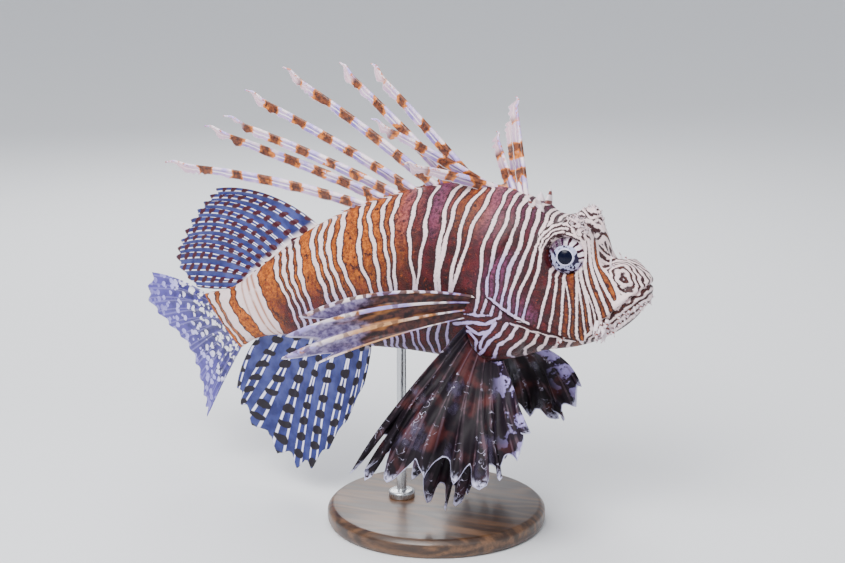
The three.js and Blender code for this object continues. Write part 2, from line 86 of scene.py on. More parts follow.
FOOT_AROUND, ROD_AROUND = 180, 48

# Cross-sections from snout to tail base: centre x and z, lean in degrees, half height, half width, and the
# roundness of the upper and lower half.
SECTIONS = np.array([
    [122.8, 10.6, -8, 0, 0, 1, 1],
    [121.8, 10.0, -9, 5.0, 4.2, 0.8, 0.9],
    [118.4, 8.8, -10, 9.9, 8.4, 0.8, 0.9],
    [110.3, 6.6, -9, 16.7, 12.6, 0.8, 0.9],
    [99.7, 6.1, -3, 24.7, 16.2, 0.75, 0.9],
    [86.9, 6.4, 1, 31.4, 19.0, 0.7, 0.9],
    [70.1, 6.8, 2.4, 35.9, 21.5, 0.8, 0.9],
    [53.5, 7.9, 2.8, 43.0, 23.8, 1, 0.9],
    [34.0, 7.5, 4.5, 46.6, 24.0, 1.15, 0.95],
    [13.9, 8.0, 5.0, 46.0, 22.3, 1.2, 1],
    [-7.0, 6.0, 3.8, 43.2, 20.0, 1.2, 1],
    [-27.8, 1.8, 1.6, 39.4, 17.5, 1.15, 1.05],
    [-46.5, -2.7, -0.3, 35.2, 15.0, 1.1, 1.1],
    [-63.6, -7.4, -2, 29.6, 12.5, 1.05, 1.05],
    [-79.1, -13.7, -6.5, 23.4, 10.3, 1, 1],
    [-94.0, -21.5, -15.5, 18.0, 8.4, 1, 1],
    [-107.5, -28.9, -28, 15.5, 6.8, 1, 1],
    [-122.5, -35.6, -42, 18.2, 4.6, 1, 1],
])
LAST_SECTION = len(SECTIONS) - 1.0

# Rows of the skin by section number, close together over the head
SKIN_ROWS = np.concatenate([np.arange(0.05, 7.6, 0.036), np.linspace(7.6, LAST_SECTION, 260)])

# Swellings of the head, mirrored to both sides: centre, radii and push.
SWELLINGS = [
    ([87.5, 12, 34], [8.5, 6.5, 9], [1, 2, 10.5]),
    ([103, 7, 27], [5.5, 9, 8], [-1, 0, -6]),
    ([83, 17, 24], [9, 9, 9], [0, 2.2, 0]),
    ([97, 0, 33], [7, 8, 9], [0, 0, -3]),
    ([112, 7.5, 16], [6, 5, 7], [0, 1.6, 2]),
    ([110, 12, 2], [10, 5, 5], [0, 1.6, 0]),
    ([104, 14.5, -8], [6, 5, 5], [0, 1.4, -0.6]),
    ([121, 3, 3.5], [4, 6, 4], [0.8, 0, 0]),
    ([121.5, 3, 14], [4, 6, 4], [0.9, 0, 0.4]),
    ([76, 20, 2], [16, 8, 5], [0, 1.5, 0]),
    ([52, 23, 6], [12, 8, 22], [0, 1.3, 0]),
]

# Side-view lines of the face, x and z
MOUTH = [(124.0, 11.6), (121.5, 9.3), (103.2, -7.2)]
MAXILLA = [(117.0, 9.0), (104.5, -3.0)]
LIP_PATCH = [(113.5, 5.6), (110.5, 2.8)]
GILL_EDGE = [
    (90, -18.5), (77.3, -15), (67.9, -12.6), (58.4, -8), (50.7, -2.3), (44.5, 2.5), (43.4, 10), (51, 24),
    (58, 38),
]
CHEEK_EDGE = [(92.0, -18.0), (74.0, -9.0), (66.5, 4.0), (70.0, 22.0)]
JAW_EDGE = [(124.0, 11.6), (121.5, 9.3), (103.2, -7.2), (94.0, -15.5), (88.0, -26.0)]
BREAST_LINES = [
    [(47.0, -7.0), (40.0, -8.5), (31.0, -8.0)],
    [(51.5, -8.0), (44.0, -12.5), (36.0, -12.6), (25.7, -15.0)],
    [(55.0, -11.0), (51.0, -17.5), (46.0, -21.0), (42.5, -26.5), (37.4, -31.5)],
    [(27.7, -20.3), (33.5, -17.8), (38.3, -22.0), (36.5, -29.0)],
    [(46.0, -15.5), (40.0, -18.5), (33.0, -15.6)],
    [(59.5, -13.0), (56.5, -18.5), (50.5, -23.0), (47.5, -30.0), (44.2, -33.6)],
    [(64.5, -15.5), (62.2, -20.0), (56.0, -25.5), (52.8, -33.0)],
    [(69.0, -17.5), (66.0, -22.5), (61.0, -26.4), (58.5, -34.0)],
    [(74.0, -18.5), (71.5, -23.0), (67.0, -27.0), (64.5, -35.0)],
    [(79.5, -19.5), (76.5, -24.5), (73.0, -27.5), (71.5, -33.0)],
    [(85.0, -20.5), (82.0, -25.0), (79.0, -28.5)],
    [(49.5, -11.0), (46.0, -16.0), (42.0, -20.5), (40.0, -26.0)],
    [(32.0, -22.5), (33.0, -27.0), (31.0, -32.0)],
]
CHEEK_BONE = [(97.0, 12.0), (84.0, 9.0), (68.0, 6.0)]
JAW_BONE = [(103.0, -9.5), (95.0, -15.0)]

# Small forms of the head along those lines: height, distance from the line, and width of each swell or
# groove.
FORMS = {
    "lid_fold": [(0.4, 2.6, 0.8)],
    "mouth": [(0.8, 1.8, 1.0), (-1.3, 0, 0.45)],
    "maxilla": [(0.8, 0, 1.5), (-0.5, 2.8, 0.6)],
    "jaw": [(0.7, 0, 1.5), (-0.4, 2.6, 0.6)],
    "nostril": [(0.5, 1.7, 0.6), (-1.6, 0, 0.9)],
    "cheek_bone": [(0.4, 0, 1.8), (-0.15, 2.8, 0.8)],
}

# Ring-shaped dark marks: radius of the first, spacing and half width.
RINGS = {
    "whorl": (1.2, 2.6, 0.58),
    "eye": (10.6, 2.05, 0.48),
    "crest": (2.2, 2.3, 0.5),
    "jaw": (0.9, 2.5, 0.6),
}

# White lines of the skin: section number at 10, 40, 70, 100 and 130 degrees from the back, and half width.
FIRST_ANGLE, ANGLE_STEP = 10, 30
WIDE_LINE = 1.5
WHITE_LINES = np.array([
    [4.25, 3.75, 3.15, 2.85, 2.60, 1.0],
    [4.50, 4.20, 3.74, 3.23, 3.00, 0.95],
    [4.67, 4.39, 4.02, 3.60, 3.40, 0.95],
    [4.85, 4.60, 4.37, 3.97, 3.79, 0.9],
    [4.97, 4.75, 4.60, 4.30, 4.25, 0.9],
    [4.97, 4.75, 4.60, 4.15, 4.02, 0.5],
    [5.10, 4.90, 4.76, 4.54, 4.52, 0.5],
    [5.10, 4.90, 4.76, 4.72, 4.80, 0.7],
    [5.35, 5.18, 5.20, 4.97, 5.05, 0.45],
    [5.35, 5.18, 5.20, 5.20, 5.32, 0.7],
    [5.50, 5.39, 5.41, 5.46, 5.65, 0.7],
    [5.69, 5.60, 5.60, 5.74, 6.02, 0.75],
    [5.92, 5.92, 5.99, 6.25, 6.60, 0.85],
    [6.10, 6.08, 6.25, 6.55, 6.85, 0.8],
    [6.40, 6.30, 6.53, 6.80, 7.05, 0.85],
    [6.64, 6.60, 6.78, 7.02, 7.25, 0.85],
    [6.87, 6.90, 7.06, 7.25, 7.45, 0.85],
    [7.10, 7.22, 7.36, 7.50, 7.65, 0.85],
    [7.38, 7.52, 7.67, 7.72, 7.80, 0.85],
    [7.86, 7.97, 8.20, 8.40, 8.30, 0.9],
    [8.11, 8.33, 8.43, 8.46, 8.55, 0.9],
    [8.49, 8.68, 8.78, 8.75, 8.80, 0.95],
    [8.76, 8.94, 8.90, 8.85, 9.05, 0.95],
    [9.31, 9.44, 9.31, 9.42, 9.35, 0.85],
    [9.76, 9.80, 9.66, 9.48, 9.55, 0.85],
    [10.33, 10.28, 10.14, 9.98, 9.85, 0.9],
    [10.61, 10.56, 10.35, 10.10, 10.05, 0.9],
    [10.94, 10.91, 10.65, 10.35, 10.20, 1.0],
    [11.22, 11.19, 11.06, 10.60, 10.40, 1.0],
    [11.78, 11.74, 11.62, 11.20, 10.90, 1.25],
    [12.09, 12.08, 11.94, 11.56, 11.25, 1.15],
    [12.39, 12.36, 12.18, 11.82, 11.50, 1.15],
    [12.72, 12.66, 12.48, 12.07, 11.80, 1.2],
    [13.36, 13.21, 13.04, 12.74, 12.50, 1.2],
    [13.62, 13.49, 13.34, 13.04, 12.80, 1.1],
    [13.87, 13.76, 13.60, 13.30, 13.05, 1.1],
    [14.15, 14.04, 13.87, 13.57, 13.33, 1.1],
    [15.27, 15.27, 15.18, 14.92, 14.72, 8.0],
    [16.28, 16.25, 16.32, 16.25, 16.15, 3.4],
    [16.80, 16.78, 16.81, 16.78, 16.74, 1.5],
])

# Fins: key rays with root x, y, z, tilt at root and tip, splay at root and tip in degrees, and length.
SOFT_DORSAL = {"rays": 12, "cut": 0.05, "keys": [
    [-58, 0.4, 24, 146, 193, 9, 14, 75],
    [-76.6, 1.8, 11, 145, 193, 13, 19, 72],
    [-88.7, 3.2, 1.5, 149, 203, 16, 20, 73],
    [-98, 4.5, -6, 166, 199, 18, 23, 69],
    [-109, 6.2, -14.5, 198, 184, 19, 23, 38],
]}
ANAL = {"rays": 9, "cut": 0.08, "keys": [
    [-29, 0, -34, -95, -105, 0, 0, 26],
    [-37, 0, -34.5, -102, -106, 3, 3, 61],
    [-50, 0.1, -34.5, -110, -99, 6, 5, 85],
    [-61, 0.6, -33.5, -113, -106, 7, 8, 84],
    [-74.5, 1.6, -33, -119, -128, 10, 11, 71],
    [-93, 3.8, -35.5, -139, -104, 12, 13, 49],
]}
CAUDAL = {"rays": 12, "cut": 0.06, "keys": [
    [-129.7, 10, -24.1, 168, 184, 36, 20, 61.5],
    [-127.6, 9.6, -28, 180, 196, 34, 20, 69.5],
    [-124.2, 8.7, -33, 191, 203, 36, 20, 59.5],
    [-119.5, 7.6, -37.4, 204, 212, 38, 22, 53.5],
    [-114.6, 6.6, -41.5, 213, 226, 36, 18, 54.5],
    [-110.2, 5.9, -44, 222, 240, 30, 12, 61.5],
    [-108.1, 5.7, -45.4, 234, 240, 24, 9, 66.5],
]}
PELVIC = {"rays": 6, "cut": 0.1, "keys": [
    [31.4, 9, -34, -52, -118, 36, -4, 77],
    [26.2, 9, -34, -81, -108, 32, -5, 84],
    [22.1, 9, -34, -94, -136, 27, -2, 64],
]}


def pectoral(around, *rest):
    """A pectoral key ray, whose root is on the rim of the fleshy pad."""
    a = math.radians(around)
    return [PAD["x"] + 15 * math.cos(a), 20, PAD["z"] + 17 * math.sin(a), *rest]


PECTORAL_UPPER = {"rays": 4, "cut": 0.2, "keys": [
    pectoral(112, 158, 211, 44, 2, 99),
    pectoral(128, 170, 209, 46, 2, 103),
    pectoral(146, 182, 209, 44, 0, 104),
    pectoral(162, 189, 208, 48, -2, 84),
]}
PECTORAL_LOWER = {"rays": 9, "cut": 0.13, "keys": [
    pectoral(176, 233, 240, 44, 8, 98),
    pectoral(196, 246, 243, 50, 12, 90),
    pectoral(222, 258, 266, 56, 14, 72),
    pectoral(248, 284, 277, 54, 12, 70),
    pectoral(270, 300, 284, 54, 10, 62),
    pectoral(290, 325, 294, 54, 6, 44),
]}

# Dorsal spines from the nape back: root x, tip x, y and z, and how far the middle bows upwards.
NAPE_SPINES = [
    [54.7, 43.2, 14, 97, 1],
    [51.5, 38.3, 22, 87.4, 1],
    [48.5, 31.7, 18, 76.8, 1],
]
MID_SPINES = [
    [40.5, 2.2, -30, 65.3, 3],
    [36.7, -19.2, -24, 85.7, 3],
    [30, -29.2, -2, 111.1, 2],
    [18, -51.2, 8.2, 108.8, 3],
    [8, -78.1, -3.1, 106.2, 4],
]
REAR_SPINES = [
    [-4, -107.8, 12.1, 90.4, 4],
    [-13, -115.8, 2.6, 77.3, 4],
    [-21, -133, 13, 69.2, 4],
    [-31, -148.5, -3, 50.9, 7],
]

# Horns of nape and brow: section number, degrees from the back, length, width, lean, depth of foot, curl
# and flatness.
HORNS = [
    (6.3, 12, 10.0, 3.4, (-5.0, 0, 2), 2.0, 0.12, 0.35),
    (6.55, 16, 6.0, 2.2, (-4.0, 1.0, 1), 1.5, 0.1, 0.4),
    (3.3, 27, 4.6, 1.0, (-0.8, 0, 3.0), 0.8, 0.25, 0.4),
    (3.2, 33, 2.4, 0.8, (1.2, 0.5, 1.0), 0.8, 0.25, 0.4),
]
CREST_PAPILLAE = 60
CHIN_TASSELS = 26
JAW_TASSELS = 16

# Flaps of the cheek: section number, degrees from the back, and length.
CHEEK_FLAPS = [(5.2, 138, 5.5), (5.35, 146, 4.0), (6.4, 116, 4.0)]

# Camera angles in degrees, distance in metres and lens; lights with place and size in metres, and watts.
CAMERA = {"azimuth": 22, "elevation": 14, "distance": 1.0, "lens": 81.93}
LIGHTS = [
    ("key", (-0.1, -0.8, 0.9), 0.6, 18.0),
    ("fill", (0.95, -0.6, 0.75), 0.8, 3.5),
    ("rim", (-0.5, 0.7, 0.7), 0.6, 7.0),
    ("top", (0.1, 0.2, 1.2), 0.8, 3.0),
]
LIGHT_AIM = Vector((0.0, 0.0, 0.13))
SKY = {"power": 1.35, "angle": 1.2, "tilt": (0.35, -0.1, 0.0)}
PAPER = (0.74, 0.75, 0.77)
AIR = {"colour": (0.86, 0.90, 1.0, 1.0), "power": 0.5}
BOWL = {"floor": 5.0, "curve": 3.0, "wall": 1.0, "around": 96}

rng = np.random.default_rng(11)


# Small geometry tools
def spline(table, s):
    """Catmull-Rom values at places s along the rows of a table."""
    table = np.asarray(table, float)
    s = np.asarray(s, float)
    last = len(table) - 1
    i = np.clip(np.floor(s).astype(int), 0, last - 1)
    t = (np.clip(s, 0, last) - i)[..., None]
    padded = np.vstack([2 * table[0] - table[1], table, 2 * table[-1] - table[-2]])
    a, b, c, d = (padded[i + k] for k in range(4))
    return 0.5 * (2 * b + (c - a) * t + (2 * a - 5 * b + 4 * c - d) * t**2 + (3 * b - a - 3 * c + d) * t**3)


def bend(x):
    """Sideways offset and slope of the sagittal surface."""
    tail = np.minimum(x - TAIL_BEND["from"], 0)
    head = np.maximum(x - HEAD_BEND["from"], 0)
    offset = tail**2 / TAIL_BEND["ease"] - head**2 / HEAD_BEND["ease"]
    return offset, 2 * tail / TAIL_BEND["ease"] - 2 * head / HEAD_BEND["ease"]


def bent(p):
    """Points given as x, distance from the sagittal surface, z, moved to where the fish's bend puts them."""
    y, slope = bend(p[..., 0])
    n = np.hypot(1, slope)
    return np.stack([p[..., 0] - p[..., 1] * slope / n, y + p[..., 1] / n, p[..., 2]], -1)


def smooth(low, high, v):
    t = np.clip((v - low) / (high - low), 0, 1)
    return t * t * (3 - 2 * t)


def bell(v, width):
    return np.exp(-((v / width) ** 2))


def unit(v):
    """Vectors along the last axis, at length 1."""
    return v / (np.linalg.norm(v, axis=-1, keepdims=True) + 1e-12)


def turn(count):
    """Angles once round."""
    return np.linspace(0, 2 * np.pi, count, endpoint=False)


def line_distance(points, x, z):
    """Distance to a side-view polyline, and signed distance to it with above or in front positive."""
    best = np.full(x.shape, 1e9)
    signed = np.zeros(x.shape)
    for (x0, z0), (x1, z1) in zip(points[:-1], points[1:]):
        dx, dz = x1 - x0, z1 - z0
        length = math.hypot(dx, dz)
        t = np.clip(((x - x0) * dx + (z - z0) * dz) / length**2, 0, 1)
        d = np.hypot(x - x0 - t * dx, z - z0 - t * dz)
        side = np.sign(dz * (x - x0) - dx * (z - z0))
        signed = np.where(d < best, side * d, signed)
        best = np.minimum(best, d)
    return best, signed


def pressed(points):
    """World points in millimetres, pressed softly inside the top and sides of the solid model's box."""
    over = np.maximum(points - np.array(cad_high) / METRE + BOX_MARGIN, 0)
    points = points - over + BOX_MARGIN * (1 - np.exp(-over / BOX_MARGIN))
    under = np.maximum(np.array(cad_low) / METRE + BOX_MARGIN - points, 0) * np.array([1, 1, 0])
    return points + under - BOX_MARGIN * (1 - np.exp(-under / BOX_MARGIN))


def placed(name, data):
    """A new object in the scene."""
    made = bpy.data.objects.new(name, data)
    bpy.context.scene.collection.objects.link(made)
    return made


def piece(name, points, faces, material, values=None):
    """A smooth mesh object from points in millimetres about the fish, with float attributes."""
    mesh = bpy.data.meshes.new(name)
    mesh.vertices.add(len(points))
    mesh.vertices.foreach_set("co", (pressed(points + ORIGIN) * METRE).astype(np.float32).ravel())
    sizes = np.concatenate([np.full(len(f), f.shape[1]) for f in faces])
    corners = np.concatenate([f.ravel() for f in faces])
    mesh.loops.add(len(corners))
    mesh.loops.foreach_set("vertex_index", corners.astype(np.int32))
    mesh.polygons.add(len(sizes))
    mesh.polygons.foreach_set("loop_start", (np.cumsum(sizes) - sizes).astype(np.int32))
    mesh.polygons.foreach_set("use_smooth", np.ones(len(sizes), bool))
    for key, data in (values or {}).items():
        attribute = mesh.attributes.new(key, "FLOAT", "POINT")
        attribute.data.foreach_set("value", np.asarray(data, np.float32).ravel())
    mesh.update()
    mesh.validate()
    mesh.materials.append(material)
    made = placed(name, mesh)
    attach(made, "root")
    return made


def outward(points, faces):
    """The faces, turned to point out if the closed surface is inside out."""
    volume = 0.0
    for f in faces:
        for k in range(1, f.shape[1] - 1):
            a, b, c = points[f[:, 0]], points[f[:, k]], points[f[:, k + 1]]
            volume += np.einsum("ij,ij->i", a, np.cross(b, c)).sum()
    return [f[:, ::-1] for f in faces] if volume < 0 else faces


def ring_faces(rings, around):
    """Quads between closed rings of points."""
    i, k = np.meshgrid(np.arange(rings - 1), np.arange(around), indexing="ij")
    n = (k + 1) % around
    quads = np.stack([i * around + k, i * around + n, (i + 1) * around + n, (i + 1) * around + k], -1)
    return quads.reshape(-1, 4)


def capped(rings):
    """Points and faces of stacked rings with a fan over each end."""
    count, around = rings.shape[:2]
    points = np.vstack([rings.reshape(-1, 3), rings[0].mean(0), rings[-1].mean(0)])
    k = np.arange(around)
    n = (k + 1) % around
    first = np.stack([np.full(around, count * around), n, k], -1)
    end = (count - 1) * around
    last = np.stack([np.full(around, count * around + 1), end + k, end + n], -1)
    return points, [ring_faces(count, around), np.vstack([first, last])]


def ringed(values, around, ends):
    """One value for each of the stacked rings, and one for each end."""
    return np.concatenate([np.repeat(values.ravel(), around), ends])


def merged(parts):
    """Several (points, faces, values) joined into one; a value may be one number for the whole part."""
    points, quads, tris, values, offset = [], [], [], {}, 0
    for p, faces, v in parts:
        points.append(p)
        for f in faces:
            (quads if f.shape[1] == 4 else tris).append(f + offset)
        for key, data in v.items():
            values.setdefault(key, []).append(np.broadcast_to(data, len(p)))
        offset += len(p)
    faces = [np.vstack(f) for f in (quads, tris) if f]
    return np.vstack(points), faces, {k: np.concatenate(v) for k, v in values.items()}


# Shader tools
class Value:
    """A shader value that ordinary arithmetic works on."""

    def __init__(self, nodes, socket):
        self.nodes = nodes
        self.socket = socket

    def __add__(self, other):
        return self.nodes.math("ADD", self, other)

    def __sub__(self, other):
        return self.nodes.math("SUBTRACT", self, other)

    def __rsub__(self, other):
        return self.nodes.math("SUBTRACT", other, self)

    def __mul__(self, other):
        return self.nodes.math("MULTIPLY", self, other)

    def __truediv__(self, other):
        return self.nodes.math("DIVIDE", self, other)

    def __pow__(self, other):
        return self.nodes.math("POWER", self, other)

    def __abs__(self):
        return self.nodes.math("ABSOLUTE", self)


class Nodes:
    """A short way to write a material's nodes."""

    def __init__(self, name):
        self.material = bpy.data.materials.new(name)
        self.material.use_nodes = True
        self.tree = self.material.node_tree
        self.shader = self.tree.nodes["Principled BSDF"]

    def add(self, kind, **settings):
        node = self.tree.nodes.new(kind)
        for key, value in settings.items():
            setattr(node, key, value)
        return node

    def put(self, socket, value):
        if isinstance(value, Value):
            self.tree.links.new(value.socket, socket)
        else:
            socket.default_value = (*value, 1.0) if isinstance(value, tuple) else value

    def fill(self, node, **values):
        """The node, with values put into its inputs by name."""
        for key, v in values.items():
            self.put(node.inputs[key.replace("_", " ")], v)
        return node

    def value(self, node, values):
        """A node's first output, with values put into its first inputs."""
        for socket, v in zip(node.inputs, values):
            self.put(socket, v)
        return Value(self, node.outputs[0])

    def math(self, operation, *values):
        return self.value(self.add("ShaderNodeMath", operation=operation), values)

    def step(self, value, low, high, to_low=0.0, to_high=1.0):
        """A smooth step from to_low at low to to_high at high."""
        node = self.add("ShaderNodeMapRange", interpolation_type="SMOOTHSTEP")
        return self.value(node, (value, low, high, to_low, to_high))

    def mix(self, factor, a, b):
        """Colour a at factor 0 and b at factor 1."""
        node = self.fill(self.add("ShaderNodeMix", data_type="RGBA"), Factor=factor, A=a, B=b)
        return Value(self, node.outputs["Result"])

    def blend(self, value, low, high, a, b):
        """Colour a where the value is at low, smoothly to b where it is at high."""
        return self.mix(self.step(value, low, high), a, b)

    def attribute(self, name):
        return Value(self, self.add("ShaderNodeAttribute", attribute_name=name).outputs["Fac"])

    def ray(self):
        """Place across the film from the nearest ray, from -0.5 to 0.5 of a gap."""
        return self.math("FRACT", self.attribute("number") + 0.5) - 0.5

    def place(self, stretch=None):
        """The place on the object, stretched for long grain."""
        place = Value(self, self.add("ShaderNodeTexCoord").outputs["Object"])
        if stretch is None:
            return place
        node = self.add("ShaderNodeMapping")
        node.inputs["Scale"].default_value = stretch
        return self.value(node, (place,))

    def noise(self, scale, detail=3.0, roughness=0.55, stretch=None):
        node, place = self.add("ShaderNodeTexNoise"), self.place(stretch)
        self.fill(node, Vector=place, Scale=scale, Detail=detail, Roughness=roughness)
        return Value(self, node.outputs["Fac"])

    def cells(self, scale, feature):
        node = self.fill(self.add("ShaderNodeTexVoronoi", feature=feature), Vector=self.place(), Scale=scale)
        return Value(self, node.outputs["Distance"])

    def set(self, **values):
        self.fill(self.shader, **values)

    def bump(self, height, distance, strength):
        node = self.fill(self.add("ShaderNodeBump"), Strength=strength, Distance=distance, Height=height)
        self.set(Normal=Value(self, node.outputs[0]))


# The skin
def eye_distance(x, side, z):
    """Radius about the eye's line of sight, place along it, height and distance ahead, for either side."""
    look = unit(EYE_LOOK)
    q = np.stack([x - EYE["x"], side - EYE["y"], z - EYE["z"]], -1)
    along = q @ look
    return np.linalg.norm(q - along[..., None] * look, axis=-1), along, q[..., 2], q[..., 0]


def spot_distance(at, x, side, z, flat=1.0):
    return np.sqrt((x - at[0]) ** 2 + (side - at[1]) ** 2 + ((z - at[2]) * flat) ** 2)


def form(name, distance):
    """Height of a small form at a distance from its line."""
    return sum(height * bell(distance - at, width) for height, at, width in FORMS[name])


def skin_relief(x, w, z):
    """Height of the small forms over the smooth body, from unbent side coordinates."""
    a = np.abs(w)
    r, along, up, _ = eye_distance(x, a, z)
    near_eye = smooth(-2, 3, along)
    height = near_eye * (1.0 + 0.7 * smooth(-4, 8, up)) * bell(r - LID_RADIUS, 1.1)
    height += near_eye * form("lid_fold", r - LID_RADIUS)
    height -= near_eye * 5.0 * smooth(LID_RADIUS - 0.2, LID_RADIUS - 1.2, r)
    # Lips, upper jaw bone and lower jaw
    mouth, above = line_distance(MOUTH, x, z)
    front = smooth(101, 104, x)
    height += front * form("mouth", mouth)
    height += front * form("maxilla", line_distance(MAXILLA, x, z)[0]) * (above > 0)
    height += smooth(6, 9, a) * form("jaw", line_distance(JAW_BONE, x, z)[0])
    height += form("nostril", spot_distance(NOSTRIL, x, a, z))
    # Gill cover, cheek and the bone below the eye
    wide = smooth(6, 12, a)
    gill, ahead = line_distance(GILL_EDGE, x, z)
    height += wide * np.where(ahead > 0, 1.5 * bell(gill, 7.0), -1.2 * bell(gill, 1.1))
    cheek, ahead = line_distance(CHEEK_EDGE, x, z)
    height += wide * np.where(ahead > 0, 0.9 * bell(cheek, 3.5), -0.4 * bell(cheek, 0.7))
    height += wide * form("cheek_bone", line_distance(CHEEK_BONE, x, z)[0]) * smooth(9.5, 12, r)
    # The rough crest over the eye, and the foot of the nape's horns
    rough = np.sin(x * 1.5 + np.sin(a * 1.1) * 2) * np.sin(a * 1.4 + 1)
    height += 0.45 * rough * smooth(9, 6, spot_distance(CREST, x, a, z, 0.9))
    nape = np.hypot(x - NAPE_HORN[0], (a - NAPE_HORN[1]) * 1.6)
    return height + 1.2 * bell(nape, 3.6) * smooth(30, 36, z)


def skin_grid(s, phi):
    """Unbent points of the body at section s and angle phi from the back."""
    x0, z0, lean, h, w, top, bottom = np.moveaxis(spline(SECTIONS, s), -1, 0)
    # The stalk thins towards the root of the tail fin
    w = w * (1 - 0.6 * smooth(LAST_SECTION - 0.8, LAST_SECTION, s))
    lean = np.radians(lean)
    high = np.maximum(h, 0) * np.cos(phi)
    sine = np.maximum(np.abs(np.sin(phi)), 1e-9)
    wide = np.maximum(w, 0) * sine ** np.where(np.cos(phi) > 0, top, bottom) * np.sign(np.sin(phi))
    x = x0 + high * np.sin(lean)
    z = z0 + high * np.cos(lean)
    push = np.zeros((3, *x.shape))
    for at, r, by in SWELLINGS:
        near = ((x - at[0]) / r[0]) ** 2 + ((np.abs(wide) - at[1]) / r[1]) ** 2 + ((z - at[2]) / r[2]) ** 2
        push += np.exp(-near) * np.array(by)[:, None, None]
    x, z = x + push[0], z + push[2]
    wide = wide + np.sign(wide) * push[1] * np.minimum(1, np.abs(wide) / 4)
    inside = 1 - ((x - PAD["x"]) / PAD["rx"]) ** 2 - ((z - PAD["z"]) / PAD["rz"]) ** 2
    pad = PAD["y"] + PAD["ry"] * np.sqrt(np.maximum(inside, 0))
    gap = pad - np.abs(wide)
    rise = np.where(inside > 0, 0.5 * (gap + np.sqrt(gap**2 + 4)), 0) * smooth(0, 0.12, inside)
    rise = rise * smooth(8, 14, np.abs(wide))
    return np.stack([x, wide + np.sign(wide) * np.minimum(rise, PAD["ry"]), z], -1)


def ring_mark(v, first, spacing, half):
    """Signed distance, positive inside dark rings that repeat along v."""
    return half - np.abs((v - first + spacing / 2) % spacing - spacing / 2)


def laid(bars, marks, where):
    """Other marks, laid over the bars where `where` is 1."""
    return bars * (1 - where) + marks * where


def bar_marks(s, angle):
    """Signed distance in mm to the white lines, the same for the first alone, and 1 ahead of the first."""
    steps = np.linalg.norm(np.diff(SECTIONS[:, :2], axis=0), axis=1)
    stations, run = np.arange(len(SECTIONS)), np.concatenate([[0], np.cumsum(steps)])
    chevron = 0.22 * smooth(13, 0, angle) * smooth(7, 8.5, s)
    wobble = 0.035 * np.sin(angle / 9 + 3 * s) + 0.02 * np.sin(angle / 3.7 - 5 * s)
    place = np.interp(s - chevron + wobble * smooth(5, 7, s), stations, run)
    rows = spline(WHITE_LINES[:, :5].T, (np.clip(angle, 4, 150) - FIRST_ANGLE) / ANGLE_STEP)
    lines = np.interp(rows, stations, run)
    half = WHITE_LINES[:, 5]
    half = np.where(half > WIDE_LINE, half, half * (1.12 - 0.3 * smooth(50, 110, angle)[..., None]))
    first = np.abs(place - lines[..., 0]) - WHITE_LINES[0, 5]
    ahead = smooth(lines[..., 0] + 0.4, lines[..., 0] - 0.4, place)
    return (np.abs(place[..., None] - lines) - half).min(-1), first, ahead


def head_marks(bars, first, ahead, x, side, z, ripple):
    """The marks with those of the head laid over them."""
    # The fingerprint whorl on the snout, which also rings its top
    q = np.stack([x, side, z], -1) - WHORL
    u = q @ WHORL_AXIS
    v = np.linalg.norm(q - u[..., None] * WHORL_AXIS, axis=-1)
    whorl = ring_mark(np.hypot(u * 0.55, v) + ripple, *RINGS["whorl"])
    bars = laid(bars, np.minimum(whorl, first), ahead)
    # Arcs over the eye, rings on the brow, and lines that follow the mouth along the jaw
    r, _, up, forward = eye_distance(x, side, z)
    over = smooth(4.5, 7.0, up - 0.25 * forward) * smooth(18.0, 16.5, r)
    bars = laid(bars, ring_mark(r + 0.5 * ripple, *RINGS["eye"]), over)
    crest = spot_distance(CREST + [0, 0, 1], x, side, z, 0.9)
    on_crest = smooth(8.5, 7.0, crest) * smooth(33, 35, z)
    bars = laid(bars, ring_mark(crest + 2.2 * ripple, *RINGS["crest"]), on_crest)
    _, above = line_distance(JAW_EDGE, x, z)
    on_jaw = smooth(1.0, 0.4, above)
    bars = laid(bars, ring_mark(0.8 * ripple - above, *RINGS["jaw"]), on_jaw)
    lip, _ = line_distance(LIP_PATCH, x, z)
    return laid(bars, -0.8, smooth(1.8, 1.1, lip) * (1 - on_jaw))


def breast_marks(bars, cover, flank, x, z, ripple):
    """The marks with the breast's own slanting lines; at the gill cover's edge, a painted shadow in its
    groove, a painted highlight on its rim and a pale line behind it.
    """
    on_breast = smooth(-1.0, -2.0, cover) * smooth(22, 26, x) * smooth(-6, -9, z) * smooth(90, 86, x)
    slant = np.min([line_distance(line, x, z)[0] for line in BREAST_LINES], 0) - 0.75 + 0.4 * ripple
    bars = laid(bars, slant, on_breast)
    low_edge = (flank > 0.5) & (z < 3 + 2 * ripple)
    # Pale line along the gill cover's rim: a painted highlight
    bars = np.where(low_edge & (x < 66), np.minimum(bars, np.abs(cover - 1.2) - 0.6), bars)
    bars = np.where(low_edge & (x > 56), np.minimum(bars, np.abs(cover + 3.2 + ripple) - 0.45), bars)
    # Dark line in the groove just behind the gill cover's edge: a painted shadow
    return np.where(low_edge, np.maximum(bars, 0.9 - np.abs(cover + 0.5)), bars)


